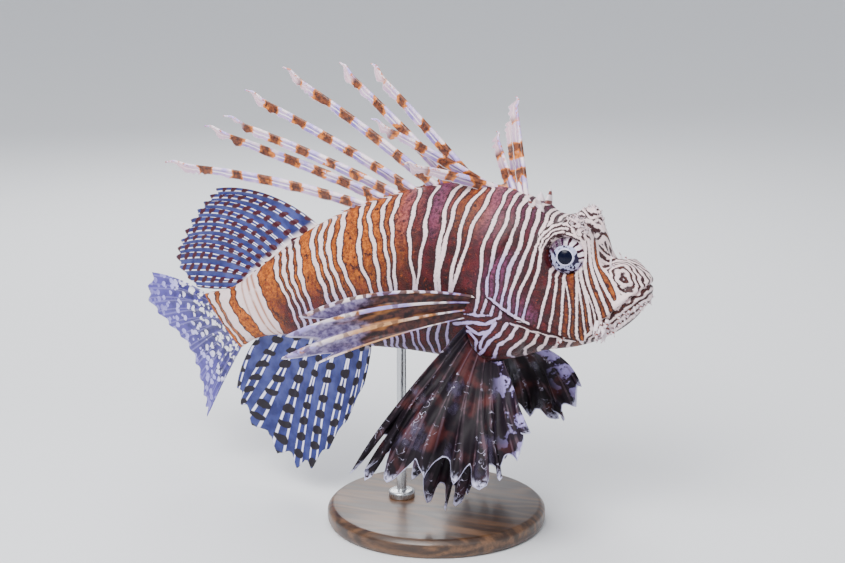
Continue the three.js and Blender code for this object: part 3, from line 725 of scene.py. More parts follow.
def skin_marks(s, phi, p):
    """Signed distance in mm, positive inside the dark marks, and the tints over the skin; painted shadow and
    painted sheen are among them.
    """
    angle = np.degrees(np.abs(phi))
    x, side, z = p[..., 0], np.abs(p[..., 1]), p[..., 2]
    ripple = 0.35 * np.sin(x * 0.9 + z * 0.5) + 0.3 * np.sin(z * 1.3 - side * 0.8 + 2)
    bars = head_marks(*bar_marks(s, angle), x, side, z, ripple)
    _, cover = line_distance(GILL_EDGE, x, z)
    flank = smooth(8, 12, side) * smooth(95, 90, x)
    bars = breast_marks(bars, cover, flank, x, z, ripple)
    # Tints: orange; plum on the upper side, partly the bars' own colour and partly painted sheen; faint tan
    # lines between the last bars; and a painted violet sheen over the gill cover
    warm = smooth(9.2, 11.0, s) * smooth(112, 70, angle) + 0.35 * bell(s - 8.2, 0.8) * smooth(70, 40, angle)
    warm = np.maximum(np.maximum(warm, smooth(13.5, 15, s)), 0.55 * smooth(5.6, 4.6, s))
    # Plum on the wide bars of the upper side: partly their own colour, partly painted sheen
    plum_and_sheen = smooth(75, 35, angle) * (bell(s - 7.65, 0.35) + bell(s - 9.15, 0.3) + bell(s - 10.0, 0.3))
    plum_and_sheen = plum_and_sheen + 0.6 * bell(s - 6.6, 0.7) * smooth(60, 20, angle)
    faint = bell(s - 15.10 + (angle - 70) * 0.004, 0.05) + bell(s - 14.86 + (angle - 70) * 0.005, 0.045)
    faint = faint + 0.8 * bell(s - 15.42 + (angle - 70) * 0.002, 0.04)
    dusk = smooth(85, 115, angle) * smooth(6.2, 7.4, s) * smooth(14.5, 12.5, s)
    # Painted violet sheen over the gill cover, carried in both the plum and the dusk tints
    violet = flank * bell(cover - 4.0, 7.0) * smooth(76, 66, x) * smooth(-14, -4, z) * smooth(30, 18, z)
    return {
        "bars": bars,
        "warm": np.clip(warm, 0, 1),
        # Plum tint with painted sheen, and the painted violet sheen of the gill cover
        "plum_and_sheen": np.clip(np.maximum(plum_and_sheen, 0.8 * violet), 0, 1),
        "faint": faint,
        # Lavender of the lower flank's white lines, and the painted violet sheen of the gill cover
        "dusk": np.maximum(dusk, violet),
    }


def skin_material():
    m = Nodes("lionfish_skin")
    bars = m.attribute("bars") + (m.noise(800, 3.0, 0.65) - 0.5) * 1.3
    fleck = m.noise(620, 4.0, 0.7)
    cloud = m.noise(150, 4.0, 0.6)
    warm = m.attribute("warm")
    patchy = m.step(cloud + fleck * 0.5, 0.55, 0.9)
    warm = warm * 0.55 + warm * patchy * 0.5
    maroon = m.blend(cloud, 0.35, 0.7, (0.018, 0.001, 0.003), (0.092, 0.004, 0.008))
    core = m.blend(fleck, 0.57, 0.68, maroon, (0.21, 0.030, 0.006))
    # Purple in the dark bars: their own plum colour with painted sheen on the upper side, and the painted
    # violet sheen of the gill cover
    purple = m.blend(fleck, 0.35, 0.65, (0.040, 0.005, 0.024), (0.20, 0.045, 0.13))
    core = m.mix(m.attribute("plum_and_sheen"), core, purple)
    orange = m.blend(fleck, 0.35, 0.65, (0.22, 0.032, 0.002), (0.62, 0.16, 0.008))
    core = m.mix(warm, core, orange)
    core = m.blend(m.noise(330, 3.0, 0.6), 0.57, 0.68, core, (0.028, 0.003, 0.006))
    inner = m.step(bars + cloud * 0.5, 0.55, 1.6)
    dark = m.mix(inner, (0.022, 0.002, 0.005), core)
    pale = m.mix(cloud, (0.92, 0.74, 0.72), (0.84, 0.64, 0.68))
    pale = m.mix(m.step(fleck, 0.55, 0.68) * 0.4, pale, (0.72, 0.4, 0.34))
    # Lavender in the white lines: on the lower flank, and as painted violet sheen over the gill cover
    pale = m.mix(m.attribute("dusk"), pale, (0.48, 0.38, 0.70))
    tan = m.attribute("faint") * m.step(cloud, 0.25, 0.5)
    pale = m.mix(tan, pale, (0.38, 0.12, 0.03))
    m.set(Base_Color=m.blend(bars, -0.16, 0.16, pale, dark))
    height = m.step(m.cells(900, "DISTANCE_TO_EDGE"), 0.0, 0.18) + fleck * 0.8
    raised = m.step(bars, 0.5, -0.3) * 1.2
    m.bump(height + raised, 0.00022, 0.75)
    m.set(Roughness=m.step(fleck, 0.3, 0.7, 0.36, 0.58))
    m.set(Coat_Weight=0.08, Coat_Roughness=0.25, Specular_IOR_Level=0.3)
    m.set(Subsurface_Weight=0.05, Subsurface_Scale=0.001)
    return m.material


def build_skin(material):
    phi = (np.arange(SKIN_AROUND) + 0.5) / SKIN_AROUND * 2 * np.pi - np.pi
    s, phi = np.meshgrid(SKIN_ROWS, phi, indexing="ij")
    p = skin_grid(s, phi)
    across = (np.roll(p, -1, 1) - np.roll(p, 1, 1)) / 2
    normal = unit(np.cross(across, np.gradient(p, axis=0)))
    normal *= np.sign(np.sum(normal * (p - p.mean(1, keepdims=True)), -1).mean())
    marks = skin_marks(s, phi, p)
    p = p + normal * skin_relief(p[..., 0], p[..., 1], p[..., 2])[..., None]
    points, faces = capped(bent(p))
    values = {k: np.concatenate([v.ravel(), [v[0].mean(), v[-1].mean()]]) for k, v in marks.items()}
    made = piece("skin", points, outward(points, faces), material, values)
    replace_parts(made, "head", "jaw", "torso", "tail_stalk")


# The eyes
def eye_material():
    m = Nodes("lionfish_eye")
    r = m.attribute("radius")
    ex = m.attribute("across")
    ez = m.attribute("upward")
    angle = m.math("ARCTAN2", ez, ex)
    blotch = m.noise(420, 2.0, 0.5)
    fine = m.noise(1100, 3.0)
    iris = m.mix(fine, (0.26, 0.28, 0.50), (0.56, 0.56, 0.76))
    iris = m.mix(m.step(m.math("SINE", angle * 60.0), 0.2, 1.0, 0.0, 0.35), iris, (0.16, 0.18, 0.38))
    spots = m.step(blotch, 0.5, 0.53) * m.step(r, 4.5, 5.0)
    iris = m.mix(spots, iris, (0.012, 0.008, 0.030))
    spokes = m.step(m.math("SINE", angle * 13.0 + m.noise(130, 2.0) * 5.0), 0.20, 0.65)
    white = m.mix(fine, (0.70, 0.62, 0.72), (0.88, 0.80, 0.86))
    outer = m.mix(spokes, white, (0.030, 0.006, 0.014))
    mottle = m.blend(fine, 0.55, 0.68, (0.020, 0.006, 0.022), (0.34, 0.16, 0.30))
    rear = m.step(ex + blotch * 5.0, 3.6, 0.8)
    outer = m.mix(rear * 0.9, outer, mottle)
    under = m.blend(blotch, 0.46, 0.54, (0.42, 0.40, 0.62), (0.022, 0.008, 0.020))
    upper = m.step(ez + ex * 0.25, -1.5, 1.0)
    outer = m.mix(upper, under, outer)
    shade = m.blend(r + (ez * 0.26 + blotch * 2.4), 8.3, 8.8, iris, outer)
    rim = m.step(r, PUPIL_RADIUS + 0.15, PUPIL_RADIUS + 0.7)
    shade = m.mix(rim, (0.62, 0.60, 0.78), shade)
    m.set(Base_Color=m.blend(r, PUPIL_RADIUS - 0.1, PUPIL_RADIUS + 0.1, (0.001, 0.002, 0.012), shade))
    m.set(Roughness=0.25, Specular_IOR_Level=0.12, Coat_Weight=0.12, Coat_Roughness=0.03)
    return m.material


def build_eye(name, side, material):
    look = unit(EYE_LOOK * np.array([1, side, 1]))
    upward = unit(np.array([0, 0, 1.0]) - look[2] * look)
    across = np.cross(upward, look) * -side
    t = np.linspace(0.02, math.pi - 0.02, EYE_ROWS)[:, None]
    a = turn(EYE_COLUMNS)[None, :]
    local = np.stack([np.sin(t) * np.cos(a), np.sin(t) * np.sin(a), np.cos(t) + 0 * a], -1)
    bulge = EYE["radius"] * (1 + 0.03 * bell(t, 0.45))[..., None]
    centre = np.array([EYE["x"], side * EYE["y"] + bend(EYE["x"])[0], EYE["z"]])
    rings = centre + bulge * (local[..., :1] * across + local[..., 1:2] * upward + local[..., 2:] * look)
    points, faces = capped(rings)
    flat = EYE["radius"] * local.reshape(-1, 3)
    values = {
        "radius": EYE["radius"] * ringed(t, EYE_COLUMNS, [0.0, math.pi]),
        "across": np.concatenate([flat[:, 0], [0, 0]]),
        "upward": np.concatenate([flat[:, 1], [0, 0]]),
    }
    made = piece(name + "_ball", points, outward(points, faces), material, values)
    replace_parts(made, name)


# Fins
def trace(rays, steps):
    """Points along rays: (columns, steps + 1, 3)."""
    x, y, z, tilt0, tilt1, splay0, splay1, length = rays.T[:, :, None]
    u = (np.arange(steps)[None, :] + 0.5) / steps
    tilt = np.radians(tilt0 + (tilt1 - tilt0) * u)
    splay = np.radians(splay0 + (splay1 - splay0) * u)
    move = np.stack([np.cos(splay) * np.cos(tilt), np.sin(splay), np.cos(splay) * np.sin(tilt)], -1)
    move = np.concatenate([np.zeros((len(rays), 1, 3)), np.cumsum(move * (length / steps)[..., None], 1)], 1)
    return np.stack([x, y, z], -1) + move


def fin_surface(fin, side, pleat, fray, per_gap=12, ray=0.62, curl=0.0, fork=(0.02, 0.17), cut=0.0):
    """A closed rayed fin: thin membrane, branching rays raised on both faces, and a scalloped rim."""
    rows = FIN_ROWS
    columns = (fin["rays"] - 1) * per_gap + 1
    u = np.linspace(0, fin["rays"] - 1, columns)
    keys = np.array(fin["keys"], float)
    rays = spline(keys, u / (fin["rays"] - 1) * (len(keys) - 1))
    off = np.abs(u - np.round(u)) * 2
    uneven = np.interp(u, np.arange(fin["rays"]), rng.random(fin["rays"]))
    scallop = (fin["cut"] + cut * uneven) * np.sin(off * math.pi / 2) ** 1.3
    rays[:, 7] *= 1 - scallop - fray * rng.random(columns)
    line = trace(rays, rows)
    t = np.linspace(0, 1, rows + 1)[None, :]
    normal = unit(np.cross(np.gradient(line, axis=0), np.gradient(line, axis=1)))
    wave = np.cos(u * math.pi * 2)[:, None] * np.sin(math.pi * np.minimum(1, t * 1.1))
    slow = np.sin(u[:, None] * 2.3 + 1.0 + 2.0 * t) * t**1.5 + 0.5 * np.sin(u[:, None] * 5.1 + 7.0 * t) * t
    line = line + normal * (-pleat * wave + curl * slow)[..., None]
    signed = (u - np.round(u))[:, None]
    fork = fork[0] + (fork[1] - fork[0]) * smooth(0.1, 0.85, t)
    width = 0.075 + 0.02 * t
    ridge = np.maximum(bell(signed - fork, width), bell(signed + fork, width))
    half = normal * (FILM + ray * (1 - 0.62 * t) * ridge)[..., None]
    points = np.concatenate([(line + half).reshape(-1, 3), (line - half).reshape(-1, 3)])
    points = points * np.array([1, side, 1])
    size = columns * (rows + 1)
    c, j = np.meshgrid(np.arange(columns - 1), np.arange(rows), indexing="ij")
    a = (c * (rows + 1) + j).ravel()
    b = a + rows + 1
    upper = np.stack([a, b, b + 1, a + 1], -1)
    rim = np.concatenate([
        np.arange(columns) * (rows + 1),
        (columns - 1) * (rows + 1) + np.arange(1, rows + 1),
        np.arange(columns - 2, -1, -1) * (rows + 1) + rows,
        np.arange(rows - 1, 0, -1),
    ])
    after = np.roll(rim, -1)
    edge = np.stack([after, rim, rim + size, after + size], -1)
    lower = (upper + size)[:, ::-1]
    length = rays[:, 7][:, None]
    values = {"fork": fork, "along": t * length, "tip": (1 - t) * length, "number": u[:, None]}
    values = {k: np.tile(np.broadcast_to(v, (columns, rows + 1)).ravel(), 2) for k, v in values.items()}
    return points, outward(points, [np.vstack([upper, lower, edge])]), values


def ray_lines(m, half):
    """1 on the pale branches of the rays."""
    return m.step(abs(abs(m.ray()) - m.attribute("fork")), half, half * 0.55)


def spot_rows(m, spacing, half_along, half_across, lean):
    """1 inside round spots that sit on the rays in rows."""
    ray = m.ray()
    middle = m.attribute("number") - ray
    jitter = m.math("SINE", middle * 7.3) * (spacing * 0.2)
    sway = m.noise(70, 2.0) * (spacing * 0.8)
    run = (m.attribute("along") + (middle * lean + jitter) + sway) / spacing
    apart = (m.math("FRACT", run) - 0.5) * (spacing / half_along)
    aside = ray / half_across
    reach = abs(apart) ** 2.4 + abs(aside) ** 2.4 + m.noise(450, 3.0) * 0.8
    return m.step(reach, 1.475, 1.225)


def fin_finish(m, colour, alpha, roughness=0.42, specular=0.3):
    m.set(Base_Color=colour, Alpha=alpha, Roughness=roughness, Specular_IOR_Level=specular)
    m.bump(m.noise(700, 3.0), 0.00012, 0.6)
    return m.material


def soft_fin_material(name, spacing, spot, across, lean, dark, line):
    """Clear film with a blue cast, white forked rays and dark spots on them."""
    m = Nodes(name)
    rays = ray_lines(m, line)
    spots = spot_rows(m, spacing, spot, across, lean)
    haze = m.noise(140, 3.0)
    base = m.blend(haze, 0.3, 0.7, (0.008, 0.012, 0.11), (0.022, 0.036, 0.24))
    near = m.step(m.attribute("along"), 7, 2)
    white = m.mix(haze, (0.90, 0.86, 0.96), (0.72, 0.70, 0.95))
    colour = m.mix(rays, base, white)
    colour = m.mix(near, colour, (0.88, 0.76, 0.76))
    colour = m.mix(spots, colour, dark)
    solid = m.math("MAXIMUM", m.math("MAXIMUM", rays, near), spots)
    clear = solid * 0.5 + m.step(haze, 0.3, 0.7, 0.88, 0.76)
    return fin_finish(m, colour, m.math("MINIMUM", clear, 1.0))


def tail_material():
    """Blue-violet film under crowded irregular pale blobs, plain and darker at the outer end."""
    m = Nodes("tail_fin_spotted")
    haze = m.noise(170, 3.0)
    reach = m.cells(235, "F1") + m.noise(420, 2.0) * 0.3
    away = m.attribute("along") + haze * 30.0
    dots = m.step(reach, 0.60, 0.54) * m.step(away, 76, 56, 0.35, 1.0)
    base = m.blend(haze, 0.3, 0.7, (0.012, 0.008, 0.10), (0.055, 0.040, 0.30))
    base = m.mix(m.step(away, 44, 70) * 0.7, base, (0.11, 0.08, 0.42))
    white = m.blend(away, 62, 34, (0.46, 0.42, 0.88), (0.92, 0.90, 0.95))
    colour = m.mix(ray_lines(m, 0.07) * 0.3, base, (0.42, 0.38, 0.85))
    colour = m.mix(dots, colour, white)
    return fin_finish(m, colour, dots * 0.15 + 0.85)


def dark_fin_material(name, blush, violet):
    """Near-black film with brown patches, violet front rays, worm-like pale marks and a pale hem."""
    m = Nodes(name)
    haze = m.noise(85, 3.0, 0.5)
    cloud = m.noise(60, 4.0, 0.6, stretch=(1.3, 1.0, 0.8))
    fine = m.noise(420, 3.0)
    base = m.blend(haze, 0.50, 0.72, (0.005, 0.002, 0.005), blush)
    base = m.blend(cloud, 0.54, 0.74, base, (0.055, 0.042, 0.085))
    blots = m.blend(m.noise(140, 3.0), 0.44, 0.50, (0.34, 0.28, 0.60), (0.010, 0.004, 0.012))
    base = m.blend(m.attribute("number"), *violet, base, blots)
    ray = abs(m.ray())
    worm = m.step(abs(m.noise(150, 2.0) - 0.5), 0.012, 0.004) * m.step(ray, 0.24, 0.1)
    worm = worm * m.step(cloud, 0.44, 0.52) * m.step(m.attribute("along"), 8, 20)
    rays = ray_lines(m, 0.06) * m.step(haze, 0.42, 0.6, 0.05, 0.4)
    colour = m.mix(rays, base, (0.14, 0.085, 0.11))
    colour = m.mix(worm * m.step(fine, 0.4, 0.55), colour, (0.4, 0.37, 0.5))
    tip = m.attribute("tip")
    tips = m.step(tip, 5.0, 1.0) * m.step(ray, 0.16, 0.04)
    hem = m.math("MAXIMUM", m.step(tip + fine, 1.4, 0.9), tips * m.step(fine, 0.38, 0.55))
    colour = m.mix(hem, colour, (0.56, 0.54, 0.76))
    clear = 1.0 - m.step(cloud, 0.5, 0.68) * 0.16
    return fin_finish(m, colour, clear, 0.55, 0.18)


def blade_fin_material():
    """The long upper pectoral rays: pale with short brown dashes, dark film between them."""
    m = Nodes("pectoral_blades")
    ray = abs(m.ray())
    along = m.attribute("along")
    haze = m.noise(75, 3.0, stretch=(0.7, 1.5, 1.5))
    fine = m.noise(380, 3.0)
    number = m.attribute("number")
    run = m.math("FRACT", (along + haze * 14.0 + number) / 6.5)
    pale = m.blend(haze, 0.4, 0.6, (0.34, 0.28, 0.66), (0.86, 0.74, 0.74))
    pale = m.blend(m.noise(110, 3.0), 0.56, 0.66, pale, (0.52, 0.20, 0.05))
    patchy = m.step(m.noise(95, 2.0), 0.50, 0.56)
    dashes = m.step(run, 0.42, 0.5) * m.step(run, 1.0, 0.9)
    dashes = dashes * m.math("MAXIMUM", m.step(number, 0.6, 0.4), patchy * 0.7)
    amber = m.mix(fine, (0.30, 0.10, 0.03), (0.78, 0.44, 0.20))
    reach = m.step(along, 80, 55) * m.step(along, 22, 40)
    pale = m.mix(m.step(number, 1.4, 1.7) * reach, pale, amber)
    colour = m.mix(dashes * 0.92, pale, (0.06, 0.014, 0.01))
    film = m.blend(fine, 0.35, 0.7, (0.010, 0.004, 0.006), (0.075, 0.022, 0.016))
    tips = m.blend(fine, 0.35, 0.65, (0.11, 0.08, 0.19), (0.36, 0.30, 0.52))
    # Painted lit streaks: orange-brown where light would catch the folded film beside the rays, away from
    # the root
    lit_streaks = m.step(m.noise(60, 3.0, stretch=(0.5, 1.6, 1.6)), 0.52, 0.66) * m.step(ray, 0.42, 0.2)
    film = m.mix(lit_streaks * m.step(along, 18, 40), film, (0.34, 0.13, 0.035))
    film = m.blend(along + haze * 60.0, 84, 112, film, tips)
    between = m.step(ray + fine * 0.06, 0.1, 0.16)
    colour = m.mix(between, colour, film)
    colour = m.blend(m.attribute("tip"), 2.0, 0.8, colour, (0.72, 0.64, 0.84))
    clear = 1.0 - between * m.step(along, 50, 95, 0.03, 0.22)
    return fin_finish(m, colour, clear)


def fin_piece(name, fin, side, material, **shape):
    points, faces, values = fin_surface(fin, side, **shape)
    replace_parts(piece(name + "_skin", points, faces, material, values), name)


# Dorsal spines
def back_point(x, sunk):
    """A point on the mid line of the back."""
    s = np.linspace(1, LAST_SECTION, 800)[:, None]
    ridge = bent(skin_grid(s, np.full(s.shape, 1e-6)))[:, 0]
    i = np.argmin(np.abs(ridge[:, 0] - x))
    return ridge[i] - np.array([0, 0, sunk])


def spine_surface(root, tip, bow, seed):
    """A tapering rod with a ragged narrow membrane behind it."""
    steps, cells = 70, 7
    t = np.linspace(0, 1, steps + 1)[:, None]
    control = (root + tip) / 2 + np.array([0, 0, bow])
    line = root * (1 - t) ** 2 + 2 * control * t * (1 - t) + tip * t**2
    along = unit(np.gradient(line, axis=0))
    sideways = unit(np.array([0, 1.0, 0]) - along[:, 1:2] * along)
    behind = np.cross(along, sideways)
    length = float(np.linalg.norm(np.diff(line, axis=0), axis=1).sum())
    r = SPINE_RADIUS * (1 - 0.66 * t**1.5)
    line = line + behind * (1.6 * smooth(0.95, 1.0, t) - 2.2 * smooth(0.86, 1.0, t) - 1.8)
    a = turn(SPINE_SIDES)[None, :, None]
    ring = np.cos(a) * behind[:, None] + np.sin(a) * sideways[:, None]
    points, faces = capped(line[:, None] + r[:, None] * ring)
    run = ringed(t * length, SPINE_SIDES, [0, length])
    rod = points, faces, {"along": run, "aside": 0.0, "length": length}
    # The membrane, widest near its lobed tip
    local = np.random.default_rng(seed)
    ragged = np.convolve(local.random(steps + 9), np.ones(3) / 3, "valid")[: steps + 1, None]
    swell = np.sin(np.pi * np.clip(0.36 + t * 0.64, 0, 1)) ** 0.6
    leaf = 0.78 + 0.16 * swell + 0.34 * bell(t - 0.86, 0.1)
    web = SPINE_WEB * leaf * smooth(1.0, 0.90, t)
    web = web * (1 - (0.12 + 0.5 * smooth(0.55, 0.9, t)) * ragged**2 * 1.6)
    v = np.linspace(0, 1, cells + 1)[None, :]
    flutter = 0.5 * np.sin(t * 9 + seed) * t
    out = behind[:, None] * (r * 0.4 + web * v)[..., None] + sideways[:, None] * (flutter * v)[..., None]
    half = 0.24 * (1 - 0.4 * v)[..., None] * sideways[:, None]
    points, faces = folded(line[:, None] + out, half)
    run = ringed(t * length, 2 * cells + 2, [0, length])
    aside = np.concatenate([np.tile(np.concatenate([v[0], v[0, ::-1]]), steps + 1), [0.5, 0.5]])
    film = points, faces, {"along": run, "aside": aside, "length": length}
    return [rod, film]


def folded(sheet, half):
    """A thin closed sheet, given half its thickness as a vector at each point."""
    return capped(np.concatenate([sheet + half, (sheet - half)[:, ::-1]], 1))


def web_surface(front, back, rise):
    """The low membrane between the feet of two neighbouring spines, each given as foot and direction."""
    n, rows = 24, 10
    u = np.linspace(0, 1, n + 1)
    feet = np.array([back_point(front[0][0] + (back[0][0] - front[0][0]) * k, 3.0) for k in u])
    lean = unit(front[1] * (1 - u)[:, None] + back[1] * u[:, None])
    height = 3.5 + rise * (1 - u) ** 2.0 + 0.4 * rise * u**4
    v = np.linspace(0, 1, rows + 1)[None, :, None]
    sheet = feet[:, None] + (lean * height[:, None])[:, None] * v
    points, faces = folded(sheet, np.array([0, 0.3, 0]) * (1.2 - v))
    return points, faces, {"along": 9.0, "aside": 0.7, "length": 90.0}


def spine_material():
    m = Nodes("banded_spines")
    along = m.attribute("along")
    aside = m.attribute("aside")
    haze = m.noise(120, 3.0)
    fine = m.noise(650, 3.0, 0.6)
    left = m.attribute("length") - along
    streak = abs(aside - (haze * 0.3 + 0.28))
    sway = haze * 14.0 + fine * 2.2
    part = m.math("FRACT", ((along + sway) / 100.0) ** 0.8 * 6.6)
    bands = m.step(part, 0.5, 0.545) * m.step(part, 1.0, 0.955) * m.step(left, 9.0, 14.0)
    heart = m.step(part, 0.56, 0.63) * m.step(part, 0.94, 0.87)
    brown = m.blend(fine, 0.40, 0.60, (0.055, 0.010, 0.004), (0.20, 0.045, 0.008))
    brown = m.mix(heart, (0.62, 0.17, 0.012), brown)
    rosy = m.blend(fine, 0.45, 0.6, (0.78, 0.34, 0.22), (0.55, 0.14, 0.05))
    pale = m.blend(haze, 0.38, 0.62, (0.44, 0.34, 0.80), (0.92, 0.76, 0.80))
    tipped = m.step(left, 30.0, 10.0)
    pale = m.mix(tipped * m.step(fine, 0.5, 0.62), pale, rosy)
    rod = m.mix(bands, pale, brown)
    film = m.blend(haze, 0.35, 0.65, (0.20, 0.14, 0.50), (0.58, 0.40, 0.66))
    film = m.blend(streak, 0.10, 0.05, film, (0.93, 0.86, 0.90))
    film = m.mix(m.step(along, 42, 10, 0.0, 0.7), film, (0.13, 0.045, 0.12))
    film = m.mix(tipped * 0.7, film, m.mix(fine, (0.84, 0.62, 0.66), (0.7, 0.36, 0.34)))
    film = m.mix(bands, film, brown)
    film = m.mix(m.step(aside, 0.86, 0.97) * 0.75, film, (0.9, 0.82, 0.88))
    on_film = m.step(aside, 0.05, 0.2)
    m.set(Base_Color=m.mix(on_film, rod, film), Alpha=1.0 - on_film * 0.1)
    m.set(Roughness=0.4, Coat_Weight=0.2, Coat_Roughness=0.25)
    m.bump(fine, 0.00015, 0.6)
    return m.material


def build_spines(name, spines, material, last_rise):
    parts, stems = [], []
    for i, (foot, x, y, z, bow) in enumerate(spines):
        root, tip = back_point(foot, 2.5), np.array([x, y, z], float)
        parts += spine_surface(root, tip, bow, 10 * len(name) + i)
        stems.append((root, unit(tip - root + np.array([0, 0, 2.0 * bow]))))
    for front, back in zip(stems[:-1], stems[1:]):
        parts.append(web_surface(front, back, 10.0))
    end = stems[-1][0] + np.array([-9.0, 0, 0]), stems[-1][1]
    parts.append(web_surface(stems[-1], end, last_rise))
    points, faces, values = merged(parts)
    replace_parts(piece(name + "_skin", points, faces, material, values), name)


# Flaps, horns and tassels of the head
def tassel(root, direction, width, seed, curl=0.25, flat=0.45):
    """A soft tapering flap that curls a little towards its tip."""
    sides = 8
    t = np.linspace(0, 1, 9)[:, None]
    length = np.linalg.norm(direction)
    side = unit(np.cross(direction, np.array([0.3, 0.2, 0.9])))
    other = np.cross(direction / length, side)
    line = root + direction * t + other * curl * length * np.sin(t * 2.2 + seed) * t
    r = width * (1 - t) ** 0.7 * (1 + 0.35 * np.sin(np.pi * t)) + 0.12
    a = turn(sides)[None, :, None]
    points, faces = capped(line[:, None] + r[:, None] * (np.cos(a) * side + flat * np.sin(a) * other))
    return points, outward(points, faces), {"out": ringed(t, sides, [0, 1]), "pick": (seed * 0.37) % 1}


def skin_spot(s, degrees, side, sunk):
    """A point and outward direction on the finished skin."""
    phi = side * math.radians(degrees)
    grid = bent(skin_grid(np.array([[s, s + 0.05, s]]), np.array([[phi, phi, phi + side * 0.03]])))[0]
    normal = unit(np.cross(grid[1] - grid[0], grid[2] - grid[0]))
    x, z = spline(SECTIONS, s)[:2]
    normal = normal * np.sign(normal @ (grid[0] - bent(np.array([x, 0, z]))))
    return grid[0] - normal * sunk, normal


def build_fringe(material):
    parts = []

    def add(s, degrees, side, length, width, lean=(0, 0, 0), sunk=0.8, **shape):
        root, normal = skin_spot(s, degrees, side, sunk)
        direction = normal * length + np.array(lean) * np.array([1, side, 1])
        parts.append(tassel(root, direction, width, len(parts) + 1, **shape))

    for side in (-1, 1):
        # Horns of the nape and the brow, papillae of the crest, beard of the jaw, then flaps of the cheek
        for s, degrees, length, width, lean, sunk, curl, flat in HORNS:
            add(s, degrees, side, length, width, lean, sunk, curl=curl, flat=flat)
        for _ in range(CREST_PAPILLAE):
            s = 4.5 + 0.9 * rng.random()
            degrees = 14 + 24 * rng.random()
            lean = (1 - 2 * rng.random(), 0.5, 0.4)
            add(s, degrees, side, 0.8 + 1.2 * rng.random(), 0.45 + 0.35 * rng.random(), lean)
        for i in range(CHIN_TASSELS):
            s = 1.4 + 2.8 * (i + 0.6 * rng.random()) / CHIN_TASSELS
            degrees = 124 + 28 * rng.random()
            length, width = 1.4 + 2.4 * rng.random(), 0.6 + 0.5 * rng.random()
            add(s, degrees, side, length, width, (-1.2, 0.3, -1.8), curl=0.4, flat=0.35)
        for _ in range(JAW_TASSELS):
            s = 3.5 + 0.6 * rng.random()
            degrees = 120 + 30 * rng.random()
            length, width = 2.4 + 2.6 * rng.random(), 0.8 + 0.5 * rng.random()
            add(s, degrees, side, length, width, (-1.6, 0.8, -3.0), curl=0.5, flat=0.3)
        for s, degrees, length in CHEEK_FLAPS:
            add(s, degrees, side, length * 0.6, 1.3, (-length * 0.8, 0.5, -0.6), 1.0, curl=0.3, flat=0.3)
    points, faces, values = merged(parts)
    piece("head_fringe", points, faces, material, values)


def fringe_material():
    m = Nodes("head_flaps")
    out = m.attribute("out")
    pick = m.attribute("pick")
    fine = m.noise(900, 3.0)
    bands = m.step(m.math("SINE", (out + pick) * 14.0), 0.1, 0.5)
    pale = m.mix(fine, (0.86, 0.76, 0.78), (0.70, 0.58, 0.66))
    m.set(Base_Color=m.mix(bands * m.step(pick, 0.2, 0.6), pale, (0.16, 0.035, 0.03)))
    m.set(Roughness=0.45, Coat_Weight=0.2, Coat_Roughness=0.3)
    m.bump(fine, 0.0001, 0.5)
    return m.material


# The stand
def lathe(name, profile, around, material, x=0.0):
    """A turned piece from a profile of radius and height in the world frame."""
    r, z = np.array(profile, float).T[:, :, None]
    a = turn(around)[None, :]
    rings = np.stack([x + r * np.cos(a), r * np.sin(a), z + 0 * a], -1) - ORIGIN
    points, faces = capped(rings)
    return piece(name, points, outward(points, faces), material)


def rounded(corners, radius, steps=6):
    """A profile whose inner corners are rounded."""
    corners = np.array(corners, float)
    made = [corners[0]]
    for before, here, after in zip(corners[:-2], corners[1:-1], corners[2:]):
        cut = min(radius, np.linalg.norm(before - here) / 2, np.linalg.norm(after - here) / 2)
        for t in np.linspace(0, 1, steps):
            made.append(here + cut * (unit(before - here) * (1 - t) ** 2 + unit(after - here) * t**2))
    made.append(corners[-1])
    return made


def wood_material():
    m = Nodes("walnut")
    grain = m.noise(60, 6.0, 0.62, stretch=(0.35, 6, 6))
    pores = m.noise(420, 3.0, 0.6, stretch=(0.12, 5, 5))
    bands = m.math("SINE", m.noise(14, 2.0, stretch=(0.5, 2.2, 2.2)) * 60.0)
    tone = grain * 0.75 + bands * 0.1
    wood = m.blend(tone, 0.22, 0.62, (0.030, 0.013, 0.006), (0.150, 0.070, 0.030))
    m.set(Base_Color=m.blend(pores, 0.60, 0.70, wood, (0.014, 0.006, 0.003)))
    m.set(Roughness=m.step(grain, 0.3, 0.7, 0.34, 0.48))
    m.set(Coat_Weight=0.3, Coat_Roughness=0.22)
    m.bump(grain - pores * 0.5, 0.00015, 0.4)
    return m.material


def steel_material():
    m = Nodes("brushed_steel_rod")
    streak = m.noise(300, 4.0, 0.6, stretch=(30, 30, 1.2))
    m.set(Base_Color=m.mix(streak, (0.42, 0.43, 0.45), (0.66, 0.67, 0.69)))
    m.set(Roughness=m.step(streak, 0.3, 0.7, 0.2, 0.36))
    m.set(Metallic=1.0)
    m.bump(streak, 0.00004, 0.5)
    return m.material


def build_stand():
    """The turned wooden foot, and the rod with its collar; each profile starts just off the axis."""
    foot = [
        (0.5, 0),
        (BASE_RADIUS - 1.5, 0),
        (BASE_RADIUS, BASE_EDGE),
        (BASE_RADIUS, BASE_HEIGHT - BASE_EDGE),
        (BASE_RADIUS - BASE_EDGE, BASE_HEIGHT),
        (0.5, BASE_HEIGHT),
    ]
    turned = lathe("stand_foot", rounded(foot, 1.2), FOOT_AROUND, wood_material())
    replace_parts(turned, "stand_base")
    low = BASE_HEIGHT + 0.02
    rod = [
        (0.2, low),
        (COLLAR_RADIUS, low),
        (COLLAR_RADIUS, low + COLLAR_HEIGHT - 1.0),
        (COLLAR_RADIUS - 1.0, low + COLLAR_HEIGHT - 0.2),
        (ROD_RADIUS, low + COLLAR_HEIGHT),
        (ROD_RADIUS, ROD_TOP - 0.6),
        (0.2, ROD_TOP),
    ]
    post = lathe("stand_post", rounded(rod, 0.7), ROD_AROUND, steel_material(), x=ROD_X)
    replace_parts(post, "stand_rod")


